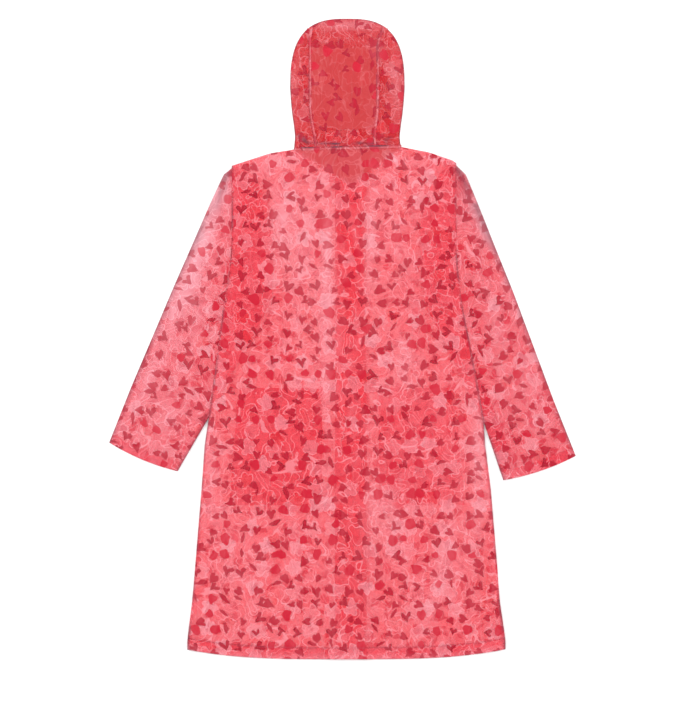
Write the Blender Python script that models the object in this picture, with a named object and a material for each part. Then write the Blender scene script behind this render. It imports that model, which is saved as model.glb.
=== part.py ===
"""A hooded raincoat of clear film, laid flat on its front with its back up.

The hood points to +Y and the wearer's left is at -X. The origin is under the middle of the laid coat.
"""

import math
from collections import namedtuple

import bmesh
import bpy
import numpy as np

# Film, and how close its layers lie
WALL = 0.0012
SEAM_GAP = 0.0003
LAYER = WALL + SEAM_GAP
HEM_WALL = 2 * WALL + SEAM_GAP
FOLD_GAP = 0.0006
FOLD_INSET = 0.0025

# Body: its sides, its upper edge and its hem
HEM_LOW = -0.7193
HEM_RISE = 0.0222
HEM_POWER = 3.3
HEM_MIDDLE = 0.0068
HEM_HALF = 0.3565
HEM_DEPTH = 0.026
HEM_STEP = 0.004

Section = namedtuple("Section", "y left right")
BODY_SIDES = (
    Section(-0.700, -0.3483, 0.3660),
    Section(-0.600, -0.3378, 0.3535),
    Section(-0.508, -0.3305, 0.3473),
    Section(-0.335, -0.3163, 0.3328),
    Section(-0.239, -0.3094, 0.3206),
    Section(-0.173, -0.2997, 0.3161),
    Section(-0.106, -0.2903, 0.3038),
    Section(-0.027, -0.2801, 0.2891),
    Section(0.074, -0.2666, 0.2689),
    Section(0.158, -0.2531, 0.2588),
    Section(0.223, -0.2486, 0.2554),
    Section(0.389, -0.2486, 0.2554),
)

EdgePoint = namedtuple("EdgePoint", "x y")
SHOULDER_LINE = (
    EdgePoint(-0.2486, 0.3888),
    EdgePoint(-0.1631, 0.4169),
    EdgePoint(-0.1013, 0.4268),
    EdgePoint(0.1262, 0.4325),
    EdgePoint(0.1924, 0.4196),
    EdgePoint(0.2464, 0.4012),
    EdgePoint(0.2554, 0.3949),
)
NECK_V = EdgePoint(0.0191, 0.3465)

# Front: the placket laps to the far side of the middle, held by press studs
PLACKET_LEFT = -0.0169
PLACKET_RIGHT = 0.0551
LAP_SETBACK = 0.0045
LAP_LIFT = 2 * LAYER
STUD_RADIUS = 0.0065
STUD_HEIGHT = WALL
STUD_CHAMFER = 0.0004
STUD_SEGMENTS = 16
STUD_TOP = 0.317
STUD_PITCH = 0.128
STUD_COUNT = 6

POCKET_TOP = -0.110
POCKET_BOTTOM = -0.3735

# Grid of the body. Columns count 0 to 1 from the left side to the placket, 1 to 2 across the placket
# and 2 to 3 from there to the right side.
POCKET_OUTER = 0.22
POCKET_INNER = 0.90
SIDE_COLUMN = 0.06
COLUMN_PITCH = 0.085
ROW_PITCH = 0.040
WARP_TOP = 0.16
WARP_BOTTOM = -0.52
NEAR = 1e-6

# Air between the back and the fronts
BODY_AIR = 0.0012
EDGE_AIR = 0.0003
SIDE_SETTLE = 0.07
NECK_SETTLE = 0.06
LAP_END = NECK_V.y + 0.0325

# Sleeves: flattened tubes, from the cuff to the armhole
SleeveSection = namedtuple("SleeveSection", "outer_x outer_y inner_x inner_y")
LEFT_SLEEVE = (
    SleeveSection(-0.5240, -0.2325, -0.3701, -0.2970),
    SleeveSection(-0.4753, -0.1096, -0.2981, -0.1733),
    SleeveSection(-0.3791, 0.1170, -0.2284, -0.0428),
    SleeveSection(-0.2981, 0.3015, -0.1811, 0.0450),
    SleeveSection(-0.2666, 0.3690, -0.1676, 0.0709),
    SleeveSection(-0.2396, 0.3904, -0.1586, 0.0878),
)
RIGHT_SLEEVE = (
    SleeveSection(0.5240, -0.2625, 0.3611, -0.3173),
    SleeveSection(0.4725, -0.1332, 0.3184, -0.1913),
    SleeveSection(0.3834, 0.1058, 0.2486, -0.0473),
    SleeveSection(0.3049, 0.3015, 0.2014, 0.0495),
    SleeveSection(0.2770, 0.3690, 0.1901, 0.0731),
    SleeveSection(0.2520, 0.3930, 0.1834, 0.0878),
)
CUFF_DEPTH = 0.021
CUFF_STEP = 0.004
CUFF_BOW = 0.0068
CUFF_BOW_LENGTH = 0.08
CAP_BULGE = 0.048
CAP_SKEW = 0.6
SLEEVE_PITCH = 0.042
SLEEVE_ACROSS = 8
SLEEVE_LOFT = 0.003
SLEEVE_LIFT = 2 * LAYER
SLEEVE_TOP = SLEEVE_LIFT + 2 * WALL + FOLD_GAP
LIFT_MARGIN = 0.030
LIFT_RAMP = 0.055
FREE_START = 0.026
COVER_MARGIN = 0.034
COVER_RAMP = 0.070
COVER_GAP = 0.0004

# Hood: a middle strip over the crown and two sides that fold under to the face opening
HOOD_MIDDLE = 0.0110
HOOD_HALF = 0.1285
HOOD_WIDEST_Y = 0.56025
HOOD_CROWN = 0.15905
CROWN_ROUNDNESS = 2.85
CROWN_EDGE = 0.0006
HOOD_LOFT = 0.008
HOOD_COLUMNS = 6
HOOD_SIDE_CELLS = 3
HOOD_UNDER_CELLS = 4

HoodWidth = namedtuple("HoodWidth", "y half")
HOOD_SIDES = (
    HoodWidth(0.4298, 0.1204),
    HoodWidth(0.4388, 0.1188),
    HoodWidth(0.4545, 0.1172),
    HoodWidth(0.4815, 0.1203),
    HoodWidth(0.5040, 0.1236),
    HoodWidth(0.5265, 0.1260),
    HoodWidth(HOOD_WIDEST_Y, HOOD_HALF),
)

HoodRow = namedtuple("HoodRow", "y seam_left seam_right rim_y rim_left rim_right")
HOOD_ROWS = (
    HoodRow(0.6953, -0.0702, 0.0905, 0.6953, -0.0702, 0.0905),
    HoodRow(0.6773, -0.0727, 0.0821, 0.6773, -0.0727, 0.0821),
    HoodRow(0.6548, -0.0731, 0.0790, 0.6548, -0.0731, 0.0790),
    HoodRow(0.6233, -0.0731, 0.0790, 0.6233, -0.0709, 0.0790),
    HoodRow(0.5873, -0.0731, 0.0790, 0.5873, -0.0709, 0.0790),
    HoodRow(0.5513, -0.0731, 0.0790, 0.5513, -0.0709, 0.0785),
    HoodRow(0.5198, -0.0731, 0.0788, 0.5198, -0.0706, 0.0770),
    HoodRow(0.4973, -0.0709, 0.0765, 0.4973, -0.0664, 0.0754),
    HoodRow(0.4793, -0.0675, 0.0743, 0.4770, -0.0563, 0.0664),
    HoodRow(0.4680, -0.0653, 0.0731, 0.4680, NECK_V.x, NECK_V.x),
    HoodRow(0.4568, -0.0630, 0.0720, 0.4478, NECK_V.x, NECK_V.x),
    HoodRow(0.4478, -0.0619, 0.0720, 0.4253, NECK_V.x, NECK_V.x),
    HoodRow(0.4390, -0.0613, 0.0717, 0.3900, NECK_V.x, NECK_V.x),
    HoodRow(HOOD_SIDES[0].y, -0.0608, 0.0714, NECK_V.y, NECK_V.x, NECK_V.x),
)
HOOD_RIM_ROW = 2

# Largest folds: ridges from one end to the other
Fold = namedtuple("Fold", "x0 y0 x1 y1 height half_width")
BACK_FOLDS = (
    Fold(-0.040, 0.370, -0.038, -0.240, 0.0045, 0.034),
    Fold(0.062, 0.350, 0.074, 0.120, 0.0035, 0.030),
    Fold(-0.134, 0.350, -0.120, 0.130, 0.0025, 0.032),
    Fold(0.150, 0.060, 0.156, -0.240, 0.0030, 0.034),
    Fold(-0.190, -0.120, -0.150, -0.520, 0.0025, 0.036),
    Fold(0.226, -0.450, 0.190, -0.660, 0.0040, 0.036),
    Fold(0.010, -0.300, 0.000, -0.640, 0.0030, 0.034),
)
LEFT_SLEEVE_FOLDS = (
    Fold(-0.300, 0.235, -0.395, 0.020, 0.0040, 0.026),
    Fold(-0.375, 0.060, -0.400, -0.120, 0.0030, 0.024),
    Fold(-0.455, -0.090, -0.470, -0.225, 0.0030, 0.022),
)
RIGHT_SLEEVE_FOLDS = (
    Fold(0.300, 0.200, 0.352, -0.140, 0.0045, 0.022),
    Fold(0.375, 0.080, 0.440, -0.110, 0.0030, 0.024),
    Fold(0.400, -0.150, 0.445, -0.255, 0.0030, 0.022),
)
HOOD_FOLDS = (
    Fold(-0.095, 0.4585, 0.115, 0.4600, 0.0025, 0.010),
    Fold(-0.030, 0.6550, -0.052, 0.5000, 0.0025, 0.024),
    Fold(0.050, 0.6450, 0.046, 0.4950, 0.0020, 0.024),
)
FOLD_TAPER = 0.25
SHARP_ANGLE = math.radians(35)

# Finishes: colour, roughness
FILM = ((0.91, 0.23, 0.27, 1.0), 0.22)
HOOD_FILM = ((0.83, 0.20, 0.23, 1.0), 0.22)
SLEEVE_FILM = ((0.93, 0.33, 0.38, 1.0), 0.20)
FRONT_FILM = ((0.86, 0.17, 0.22, 1.0), 0.24)
POCKET_FILM = ((0.78, 0.12, 0.17, 1.0), 0.24)
STUD_RESIN = ((0.70, 0.14, 0.18, 1.0), 0.30)


def smooth(t):
    t = min(max(t, 0.0), 1.0)
    return t * t * (3 - 2 * t)


def blend(a, b, t):
    return a + (b - a) * t


def read(rows, column, at, by="y"):
    """One column of a table, at a place between its rows."""
    places = [getattr(row, by) for row in rows]
    values = [getattr(row, column) for row in rows]
    return float(np.interp(at, places, values))


def fold_height(folds, x, y):
    """How far the ridges raise the film at one place."""
    total = 0.0
    for fold in folds:
        run_x, run_y = fold.x1 - fold.x0, fold.y1 - fold.y0
        length = math.hypot(run_x, run_y)
        along = ((x - fold.x0) * run_x + (y - fold.y0) * run_y) / length**2
        across = ((x - fold.x0) * run_y - (y - fold.y0) * run_x) / length / fold.half_width
        if abs(across) < 1 and 0 < along < 1:
            ends = smooth(along / FOLD_TAPER) * smooth((1 - along) / FOLD_TAPER)
            total += fold.height * ends * (1 - across**2) ** 2
    return total


# ---- outline of the body ----


def side(name, y):
    return read(BODY_SIDES, name, y)


def hem_line(x):
    return HEM_LOW + HEM_RISE * (abs(x - HEM_MIDDLE) / HEM_HALF) ** HEM_POWER


def back_top(x):
    return read(SHOULDER_LINE, "y", x, by="x")


def neck_v(x):
    """The front neckline: straight from the hood's lower corners to the middle."""
    half = read(HOOD_SIDES, "half", HOOD_SIDES[0].y)
    corner_x = HOOD_MIDDLE + math.copysign(half, x - NECK_V.x)
    share = (x - NECK_V.x) / (corner_x - NECK_V.x)
    return blend(NECK_V.y, nape(corner_x), min(share, 1.0))


def front_top(x):
    return min(back_top(x), neck_v(x) - SEAM_GAP)


def nape(x):
    """Where the hood meets the back, just clear of it."""
    first, last = SHOULDER_LINE[2], SHOULDER_LINE[3]
    share = (x - first.x) / (last.x - first.x)
    return blend(first.y, last.y, share) + SEAM_GAP


# ---- grid of the body ----


def column_x(column, y):
    if column <= 1:
        return blend(side("left", y), PLACKET_LEFT, column)
    if column <= 2:
        return blend(PLACKET_LEFT, PLACKET_RIGHT, column - 1)
    return blend(PLACKET_RIGHT, side("right", y), column - 2)


def spread(start, end, pitch):
    """Evenly spaced values after start, up to and with end."""
    count = max(1, round(abs(end - start) / pitch))
    return [blend(start, end, (i + 1) / count) for i in range(count)]


def left_columns():
    columns = [0.0, SIDE_COLUMN] + spread(SIDE_COLUMN, POCKET_OUTER, COLUMN_PITCH)
    return columns + spread(POCKET_OUTER, POCKET_INNER, COLUMN_PITCH) + [1.0]


LEFT_COLUMNS = left_columns()
PLACKET_COLUMNS = [1.0, 1.5, 2.0]
RIGHT_COLUMNS = [3.0 - column for column in reversed(LEFT_COLUMNS)]


def body_rows():
    top = back_top(NECK_V.x)
    rows = [HEM_LOW, HEM_LOW + HEM_DEPTH, HEM_LOW + HEM_DEPTH + HEM_STEP]
    for station in (POCKET_BOTTOM, POCKET_TOP, WARP_TOP, top):
        rows += spread(rows[-1], station, ROW_PITCH)
    return rows


BODY_ROWS = body_rows()


def row_y(row, x, top):
    """A row is level across the waist and bends to the hem and the upper edge at its ends."""
    up = smooth((row - WARP_TOP) / (BODY_ROWS[-1] - WARP_TOP))
    down = smooth((WARP_BOTTOM - row) / (WARP_BOTTOM - (HEM_LOW + HEM_DEPTH)))
    return row + up * (top(x) - BODY_ROWS[-1]) + down * (hem_line(x) - HEM_LOW)


def wall_at(row):
    return HEM_WALL if row < HEM_LOW + HEM_DEPTH + HEM_STEP / 2 else WALL


def next_to(values, value, step):
    return values[min(range(len(values)), key=lambda i: abs(values[i] - value)) + step]


def fade(value, low, high, before, after):
    """1 from low to high, falling to 0 at before and after."""
    rising = (value - before) / (low - before)
    falling = (after - value) / (after - high)
    return min(max(min(rising, falling), 0.0), 1.0)


def pocket_lift(column, row):
    mirrored = min(column, 3.0 - column)
    across = fade(mirrored, POCKET_OUTER, POCKET_INNER, next_to(LEFT_COLUMNS, POCKET_OUTER, -1), 1.0)
    along = fade(
        row,
        POCKET_BOTTOM,
        POCKET_TOP,
        next_to(BODY_ROWS, POCKET_BOTTOM, -1),
        next_to(BODY_ROWS, POCKET_TOP, 1),
    )
    return LAYER * across * along


def lap_lift(column):
    return LAP_LIFT * fade(column, 1.0, 2.0, POCKET_INNER, 3.0 - POCKET_INNER)


def front_floor(column, row, lapped):
    """How high the underside of a front lies. Only the left one laps over the placket."""
    lift = pocket_lift(column, row)
    return max(lift, lap_lift(column)) if lapped else lift


# ---- sleeves ----


def sleeve_distances(rows):
    """How far along the sleeve's middle each section lies."""
    middles = [((r.outer_x + r.inner_x) / 2, (r.outer_y + r.inner_y) / 2) for r in rows]
    distances = [0.0]
    for (x0, y0), (x1, y1) in zip(middles, middles[1:]):
        distances.append(distances[-1] + math.hypot(x1 - x0, y1 - y0))
    return distances


def cap_bulge(across):
    """How far the sleeve's cap swells into the body."""
    return CAP_BULGE * math.sin(math.pi * across**CAP_SKEW)


def sleeve_point(rows, distance, across):
    """A place on the sleeve, from its outer edge at 0 to its inner edge at 1."""
    distances = sleeve_distances(rows)
    ends = [np.interp(distance, distances, [row[i] for row in rows]) for i in range(4)]
    x = blend(ends[0], ends[2], across)
    y = blend(ends[1], ends[3], across)
    near_cap = smooth((distance - distances[2]) / (distances[-1] - distances[2]))
    toward_body = -math.copysign(1.0, rows[0].outer_x)
    bow = CUFF_BOW * 4 * across * (1 - across) * (1 - smooth(distance / CUFF_BOW_LENGTH))
    run_x, run_y = rows[1].outer_x - rows[0].outer_x, rows[1].outer_y - rows[0].outer_y
    length = math.hypot(run_x, run_y)
    x += toward_body * near_cap * cap_bulge(across) - bow * run_x / length
    return x, y - bow * run_y / length


def sleeve_reach(rows, y):
    """How far in towards the middle of the coat the sleeve reaches at one height."""
    cap = rows[-1]
    if y > cap.inner_y:
        across = min(max((cap.outer_y - y) / (cap.outer_y - cap.inner_y), 0.0), 1.0)
        toward_body = -math.copysign(1.0, cap.outer_x)
        return blend(cap.outer_x, cap.inner_x, across) + toward_body * cap_bulge(across)
    heights = [row.inner_y for row in rows]
    return float(np.interp(y, heights, [row.inner_x for row in rows]))


def beyond_body(x, y):
    """How far a place lies outside the side of the body."""
    return max(side("left", y) - x, x - side("right", y))


def sleeve_floor(x, y):
    return SLEEVE_LIFT * (1 - smooth((beyond_body(x, y) - LIFT_MARGIN) / LIFT_RAMP))


def sleeve_cover(x, y):
    """The height that the back needs to pass over the sleeves."""
    depth = min(x - sleeve_reach(LEFT_SLEEVE, y), sleeve_reach(RIGHT_SLEEVE, y) - x)
    share = 1 - smooth((depth - COVER_MARGIN) / COVER_RAMP)
    return (SLEEVE_TOP + COVER_GAP) * share


# ---- heights of the back and the hood ----


def back_floor(column, row, x, y):
    """The underside of the back, over the fronts and the sleeves."""
    settled = smooth(min(x - side("left", y), side("right", y) - x) / SIDE_SETTLE)
    below_neck = smooth((back_top(x) - y) / NECK_SETTLE)
    air = SEAM_GAP + settled * (EDGE_AIR + below_neck * BODY_AIR)
    lap = max(pocket_lift(column, row), lap_lift(column) * below_neck_lap(row))
    resting = lap + wall_at(row) + air
    return max(resting, sleeve_cover(x, y)) + fold_height(BACK_FOLDS, x, y)


def below_neck_lap(row):
    """The lap ends at the front neckline, so the back comes down above it."""
    return min(max((BODY_ROWS[-1] - row) / (BODY_ROWS[-1] - LAP_END), 0.0), 1.0)


def hood_half(y):
    if y <= HOOD_WIDEST_Y:
        return read(HOOD_SIDES, "half", y)
    rise = min((y - HOOD_WIDEST_Y) / HOOD_CROWN, 1.0)
    return HOOD_HALF * (1 - rise**CROWN_ROUNDNESS) ** (1 / CROWN_ROUNDNESS)


def crown_y(x):
    share = min(abs(x - HOOD_MIDDLE) / HOOD_HALF, 1.0)
    return HOOD_WIDEST_Y + HOOD_CROWN * (1 - share**CROWN_ROUNDNESS) ** (1 / CROWN_ROUNDNESS)


def hood_floor(x, y):
    """The underside of the hood's upper layer."""
    across = (x - HOOD_MIDDLE) / hood_half(y) if hood_half(y) > 0 else 1.0
    rise = max(y - HOOD_WIDEST_Y, 0.0) / HOOD_CROWN
    from_nape = smooth((y - nape(x)) / (HOOD_WIDEST_Y - nape(x)))
    dome = max(1 - across**2, 0.0) * max(1 - rise**2, 0.0) * from_nape
    folds = fold_height(HOOD_FOLDS, x, y) * smooth(4 * max(1 - across**2, 0.0))
    return WALL + FOLD_GAP + HOOD_LOFT * dome + folds


# ---- making the solids ----


def film(name, finish):
    colour, roughness = finish
    material = bpy.data.materials.new(name + "_film")
    material.use_nodes = True
    shader = material.node_tree.nodes["Principled BSDF"]
    shader.inputs["Base Color"].default_value = colour
    shader.inputs["Roughness"].default_value = roughness
    shader.inputs["Metallic"].default_value = 0.0
    material.diffuse_color = colour
    return material


def add_object(name, mesh, finish, parent):
    mesh.materials.append(film(name, finish))
    piece = bpy.data.objects.new(name, mesh)
    bpy.context.scene.collection.objects.link(piece)
    piece.parent = parent
    return piece


def add_wall(name, outer, inner, finish, parent, ring=False):
    """A closed wall between two grids of points. A ring's columns meet again at its end."""
    rows, columns = len(outer), len(outer[0])
    steps = columns if ring else columns - 1
    points = [point for grid in (outer, inner) for line in grid for point in line]
    inner_start = rows * columns

    def at(i, j, start=0):
        return start + i * columns + j % columns

    faces = []

    def cell(a, b, c, d):
        faces.extend(((a, b, c), (a, c, d)))

    for i in range(rows - 1):
        for j in range(steps):
            cell(at(i, j), at(i, j + 1), at(i + 1, j + 1), at(i + 1, j))
            faces.append((at(i, j, inner_start), at(i + 1, j + 1, inner_start), at(i, j + 1, inner_start)))
            faces.append((at(i, j, inner_start), at(i + 1, j, inner_start), at(i + 1, j + 1, inner_start)))
    for j in range(steps):
        last = rows - 1
        cell(at(0, j, inner_start), at(0, j + 1, inner_start), at(0, j + 1), at(0, j))
        cell(at(last, j), at(last, j + 1), at(last, j + 1, inner_start), at(last, j, inner_start))
    if not ring:
        for i in range(rows - 1):
            last = columns - 1
            cell(at(i, 0), at(i + 1, 0), at(i + 1, 0, inner_start), at(i, 0, inner_start))
            cell(at(i, last, inner_start), at(i + 1, last, inner_start), at(i + 1, last), at(i, last))
    mesh = bpy.data.meshes.new(name)
    mesh.from_pydata(points, [], faces)
    shape = bmesh.new()
    shape.from_mesh(mesh)
    bmesh.ops.recalc_face_normals(shape, faces=shape.faces)
    shape.to_mesh(mesh)
    shape.free()
    mesh.shade_smooth()
    mesh.set_sharp_from_angle(angle=SHARP_ANGLE)
    return add_object(name, mesh, finish, parent)


def add_panel(name, columns, rows, place, floor, finish, parent, thickness=wall_at):
    """A flat piece on the body's grid. place gives x and y, and floor the underside."""
    upper, under = [], []
    for row in rows:
        upper_line, under_line = [], []
        for column in columns:
            x, y = place(column, row)
            z = floor(column, row, x, y)
            upper_line.append((x, y, z + thickness(row)))
            under_line.append((x, y, z))
        upper.append(upper_line)
        under.append(under_line)
    return add_wall(name, upper, under, finish, parent)


def add_back(parent):
    columns = LEFT_COLUMNS + PLACKET_COLUMNS[1:] + RIGHT_COLUMNS[1:]

    def place(column, row):
        x = column_x(column, row)
        return x, row_y(row, x, back_top)

    add_panel("back", columns, BODY_ROWS, place, back_floor, FILM, parent)


def front_place(column, row):
    x = column_x(column, row)
    return x, row_y(row, x, front_top)


def add_fronts(parent):
    def left_place(column, row):
        x, y = front_place(column, row)
        if column < 2:
            return x, y
        x = PLACKET_RIGHT - LAP_SETBACK
        return x, row_y(row, x, front_top)

    def right_place(column, row):
        x, y = front_place(column, row)
        return (x + SEAM_GAP / 2 if column == 2 else x), y

    add_panel(
        "front_left",
        LEFT_COLUMNS + PLACKET_COLUMNS[1:],
        BODY_ROWS,
        left_place,
        lambda column, row, x, y: front_floor(column, row, True),
        FRONT_FILM,
        parent,
    )
    add_panel(
        "front_right",
        RIGHT_COLUMNS,
        BODY_ROWS,
        right_place,
        lambda column, row, x, y: front_floor(column, row, False),
        FRONT_FILM,
        parent,
    )


def add_placket(parent):
    def place(column, row):
        x, y = front_place(column, row)
        return (x - SEAM_GAP / 2 if column == 2 else x), y

    add_panel(
        "placket",
        PLACKET_COLUMNS,
        BODY_ROWS,
        place,
        lambda column, row, x, y: 0.0,
        POCKET_FILM,
        parent,
        thickness=lambda row: WALL,
    )


def add_pockets(parent):
    rows = [row for row in BODY_ROWS if POCKET_BOTTOM - NEAR <= row <= POCKET_TOP + NEAR]
    for name, columns in (("pocket_left", LEFT_COLUMNS), ("pocket_right", RIGHT_COLUMNS)):
        inside = [c for c in columns if POCKET_OUTER - NEAR <= min(c, 3.0 - c) <= POCKET_INNER + NEAR]
        add_panel(name, inside, rows, front_place, lambda column, row, x, y: 0.0, POCKET_FILM, parent)


def add_studs(parent):
    for i in range(STUD_COUNT):
        name = f"stud_{i + 1}"
        shape = bmesh.new()
        bmesh.ops.create_cone(
            shape,
            cap_ends=True,
            segments=STUD_SEGMENTS,
            radius1=STUD_RADIUS,
            radius2=STUD_RADIUS,
            depth=STUD_HEIGHT,
        )
        rims = [e for e in shape.edges if abs(e.verts[0].co.z - e.verts[1].co.z) < STUD_HEIGHT / 2]
        bmesh.ops.bevel(shape, geom=rims, offset=STUD_CHAMFER, segments=1, affect="EDGES")
        mesh = bpy.data.meshes.new(name)
        shape.to_mesh(mesh)
        shape.free()
        stud = add_object(name, mesh, STUD_RESIN, parent)
        stud.location = (NECK_V.x, STUD_TOP - i * STUD_PITCH, LAYER + STUD_HEIGHT / 2)


def sleeve_ring(rows, distance, folds):
    """One section of a flattened tube: its outer points and its inner points, in turn."""
    outer_edge = np.array(sleeve_point(rows, distance, 0.0))
    inner_edge = np.array(sleeve_point(rows, distance, 1.0))
    inset = FOLD_INSET / np.linalg.norm(inner_edge - outer_edge)
    wall = HEM_WALL if distance < CUFF_DEPTH + CUFF_STEP / 2 else WALL
    across = [inset] + [i / SLEEVE_ACROSS for i in range(1, SLEEVE_ACROSS)] + [1 - inset]

    def heights(share):
        x, y = sleeve_point(rows, distance, share)
        low = sleeve_floor(x, y)
        free = smooth((beyond_body(x, y) - FREE_START) / LIFT_MARGIN)
        rounded = 4 * share * (1 - share)
        rise = SLEEVE_LOFT * rounded + fold_height(folds, x, y) * smooth(3 * rounded)
        return x, y, low, low + 2 * wall + FOLD_GAP + free * rise

    upper = [heights(share) for share in across]
    outer_line = [(x, y, high) for x, y, low, high in upper]
    outer_line += [(x, y, low) for x, y, low, high in reversed(upper)]
    inner_line = [(x, y, high - wall) for x, y, low, high in upper]
    inner_line += [(x, y, low + wall) for x, y, low, high in reversed(upper)]
    ends = []
    for edge, toward in ((0.0, wall), (1.0, -wall)):
        x, y, low, _ = heights(edge)
        middle = low + wall + FOLD_GAP / 2
        inner = heights(edge + toward * inset / FOLD_INSET)
        ends.append(((x, y, middle), (inner[0], inner[1], middle)))
    half = len(across)
    outer_line = [ends[0][0]] + outer_line[:half] + [ends[1][0]] + outer_line[half:]
    inner_line = [ends[0][1]] + inner_line[:half] + [ends[1][1]] + inner_line[half:]
    return outer_line, inner_line


def add_sleeves(parent):
    for name, rows, folds in (
        ("sleeve_left", LEFT_SLEEVE, LEFT_SLEEVE_FOLDS),
        ("sleeve_right", RIGHT_SLEEVE, RIGHT_SLEEVE_FOLDS),
    ):
        stations = [0.0, CUFF_DEPTH, CUFF_DEPTH + CUFF_STEP]
        for distance in sleeve_distances(rows)[1:]:
            stations += spread(stations[-1], distance, SLEEVE_PITCH)
        rings = [sleeve_ring(rows, station, folds) for station in stations]
        outer = [ring[0] for ring in rings]
        inner = [ring[1] for ring in rings]
        add_wall(name, outer, inner, SLEEVE_FILM, parent, ring=True)


def hood_side_section(row, hand, crown=False):
    """From the seam over the upper layer, round the fold and under to the rim."""
    sign = -1 if hand == "left" else 1
    last = row is HOOD_ROWS[-1]
    fold_x = HOOD_MIDDLE + sign * hood_half(row.y)
    seam_x = getattr(row, "seam_" + hand) + sign * SEAM_GAP / 2
    rim_x = getattr(row, "rim_" + hand) + sign * SEAM_GAP / 2

    def raised(x, y):
        """The end at the crown follows the outline that the middle strip has there."""
        return max(crown_y(x), y + CROWN_EDGE) if crown else y

    fold_y = nape(fold_x) if last else raised(fold_x, row.y)
    inset_x = fold_x - sign * FOLD_INSET
    outer, inner = [], []
    for i in range(HOOD_SIDE_CELLS + 1):
        x = blend(seam_x, inset_x, i / HOOD_SIDE_CELLS)
        y = nape(x) if last else raised(x, row.y)
        low = hood_floor(x, y)
        outer.append((x, y, low + WALL))
        inner.append((x, y, low))
    middle = WALL + FOLD_GAP / 2
    outer.append((fold_x, fold_y, middle))
    inner.append((fold_x - sign * WALL, fold_y, middle))
    start_y = neck_v(inset_x) if last else row.y
    for i in range(HOOD_UNDER_CELLS + 1):
        share = i / HOOD_UNDER_CELLS
        x = blend(inset_x, rim_x, share)
        y = neck_v(x) if last else raised(x, blend(start_y, row.rim_y, share))
        outer.append((x, y, 0.0))
        inner.append((x, y, WALL))
    return outer, inner


def add_hood_sides(parent):
    for hand in ("left", "right"):
        sections = [hood_side_section(HOOD_ROWS[0], hand, crown=True)]
        sections += [hood_side_section(row, hand) for row in HOOD_ROWS]
        outer = [section[0] for section in sections]
        inner = [section[1] for section in sections]
        add_wall("hood_" + hand, outer, inner, HOOD_FILM, parent)


def add_hood_middle(parent):
    """From the nape over the crown and down to the top of the face opening."""
    outer, inner = [], []

    def line(points):
        outer.append([(x, y, high) for x, y, high, low in points])
        inner.append([(x, y, low) for x, y, high, low in points])

    def across(row):
        left, right = row.seam_left + SEAM_GAP / 2, row.seam_right - SEAM_GAP / 2
        return [blend(left, right, i / HOOD_COLUMNS) for i in range(HOOD_COLUMNS + 1)]

    for row in reversed(HOOD_ROWS):
        points = []
        for x in across(row):
            y = nape(x) if row is HOOD_ROWS[-1] else row.y
            low = hood_floor(x, y)
            points.append((x, y, low + WALL, low))
        line(points)
    top = across(HOOD_ROWS[0])
    middle = WALL + FOLD_GAP / 2
    near = [(x, crown_y(x) - FOLD_INSET) for x in top]
    line([(x, y, hood_floor(x, y) + WALL, hood_floor(x, y)) for x, y in near])
    outer.append([(x, crown_y(x), middle) for x in top])
    inner.append([(x, crown_y(x) - WALL, middle) for x in top])
    line([(x, y, 0.0, WALL) for x, y in near])
    for row in HOOD_ROWS[: HOOD_RIM_ROW + 1]:
        line([(x, row.y, 0.0, WALL) for x in across(row)])
    add_wall("hood_middle", outer, inner, HOOD_FILM, parent)


def main():
    for leftover in list(bpy.data.objects):
        bpy.data.objects.remove(leftover)
    coat = bpy.data.objects.new("raincoat", None)
    bpy.context.scene.collection.objects.link(coat)
    add_back(coat)
    add_fronts(coat)
    add_placket(coat)
    add_pockets(coat)
    add_studs(coat)
    add_sleeves(coat)
    add_hood_sides(coat)
    add_hood_middle(coat)


main()
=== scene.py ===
import functools
import math

import bmesh
import bpy
import numpy as np
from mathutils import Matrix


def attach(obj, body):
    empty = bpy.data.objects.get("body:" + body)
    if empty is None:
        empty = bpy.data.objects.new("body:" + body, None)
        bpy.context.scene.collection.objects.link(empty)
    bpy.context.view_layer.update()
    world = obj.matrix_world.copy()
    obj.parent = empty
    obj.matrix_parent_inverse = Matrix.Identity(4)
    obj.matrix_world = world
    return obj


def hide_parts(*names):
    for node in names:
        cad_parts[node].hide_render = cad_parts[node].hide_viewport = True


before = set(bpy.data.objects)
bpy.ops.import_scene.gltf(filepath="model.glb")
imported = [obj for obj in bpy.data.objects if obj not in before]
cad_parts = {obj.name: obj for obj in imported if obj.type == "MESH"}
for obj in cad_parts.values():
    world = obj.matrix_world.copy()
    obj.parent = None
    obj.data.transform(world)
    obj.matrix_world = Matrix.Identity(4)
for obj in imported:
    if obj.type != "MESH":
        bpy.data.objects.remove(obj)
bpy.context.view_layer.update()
scene = bpy.context.scene

# Small helpers.


def smooth(t):
    t = np.clip(t, 0.0, 1.0)
    return t * t * (3 - 2 * t)


def mix(a, b, t):
    return a + (b - a) * t


def least(*values):
    return functools.reduce(np.minimum, values)


def grid(*parts):  # numbers and arrays side by side, as the last axis of one array
    return np.stack(np.broadcast_arrays(*parts), -1)


def turned(x, y, angle):
    c, s = math.cos(angle), math.sin(angle)
    return c * x + s * y, c * y - s * x


def interp(table, name, at, by="y"):  # one column of a table of lists
    return np.interp(at, table[by], table[name])


def steps(start, end, pitch):
    count = max(1, int(round(abs(end - start) / pitch)))
    return np.linspace(start, end, count + 1)


def joined(*runs):  # sorted values without near doubles
    values = np.sort(np.hstack(runs))
    return values[np.append(True, np.diff(values) > 1e-5)]


def runAlong(x, y):  # the distance along a path, from its first point
    return np.append(0.0, np.cumsum(np.hypot(np.diff(x), np.diff(y))))


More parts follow.
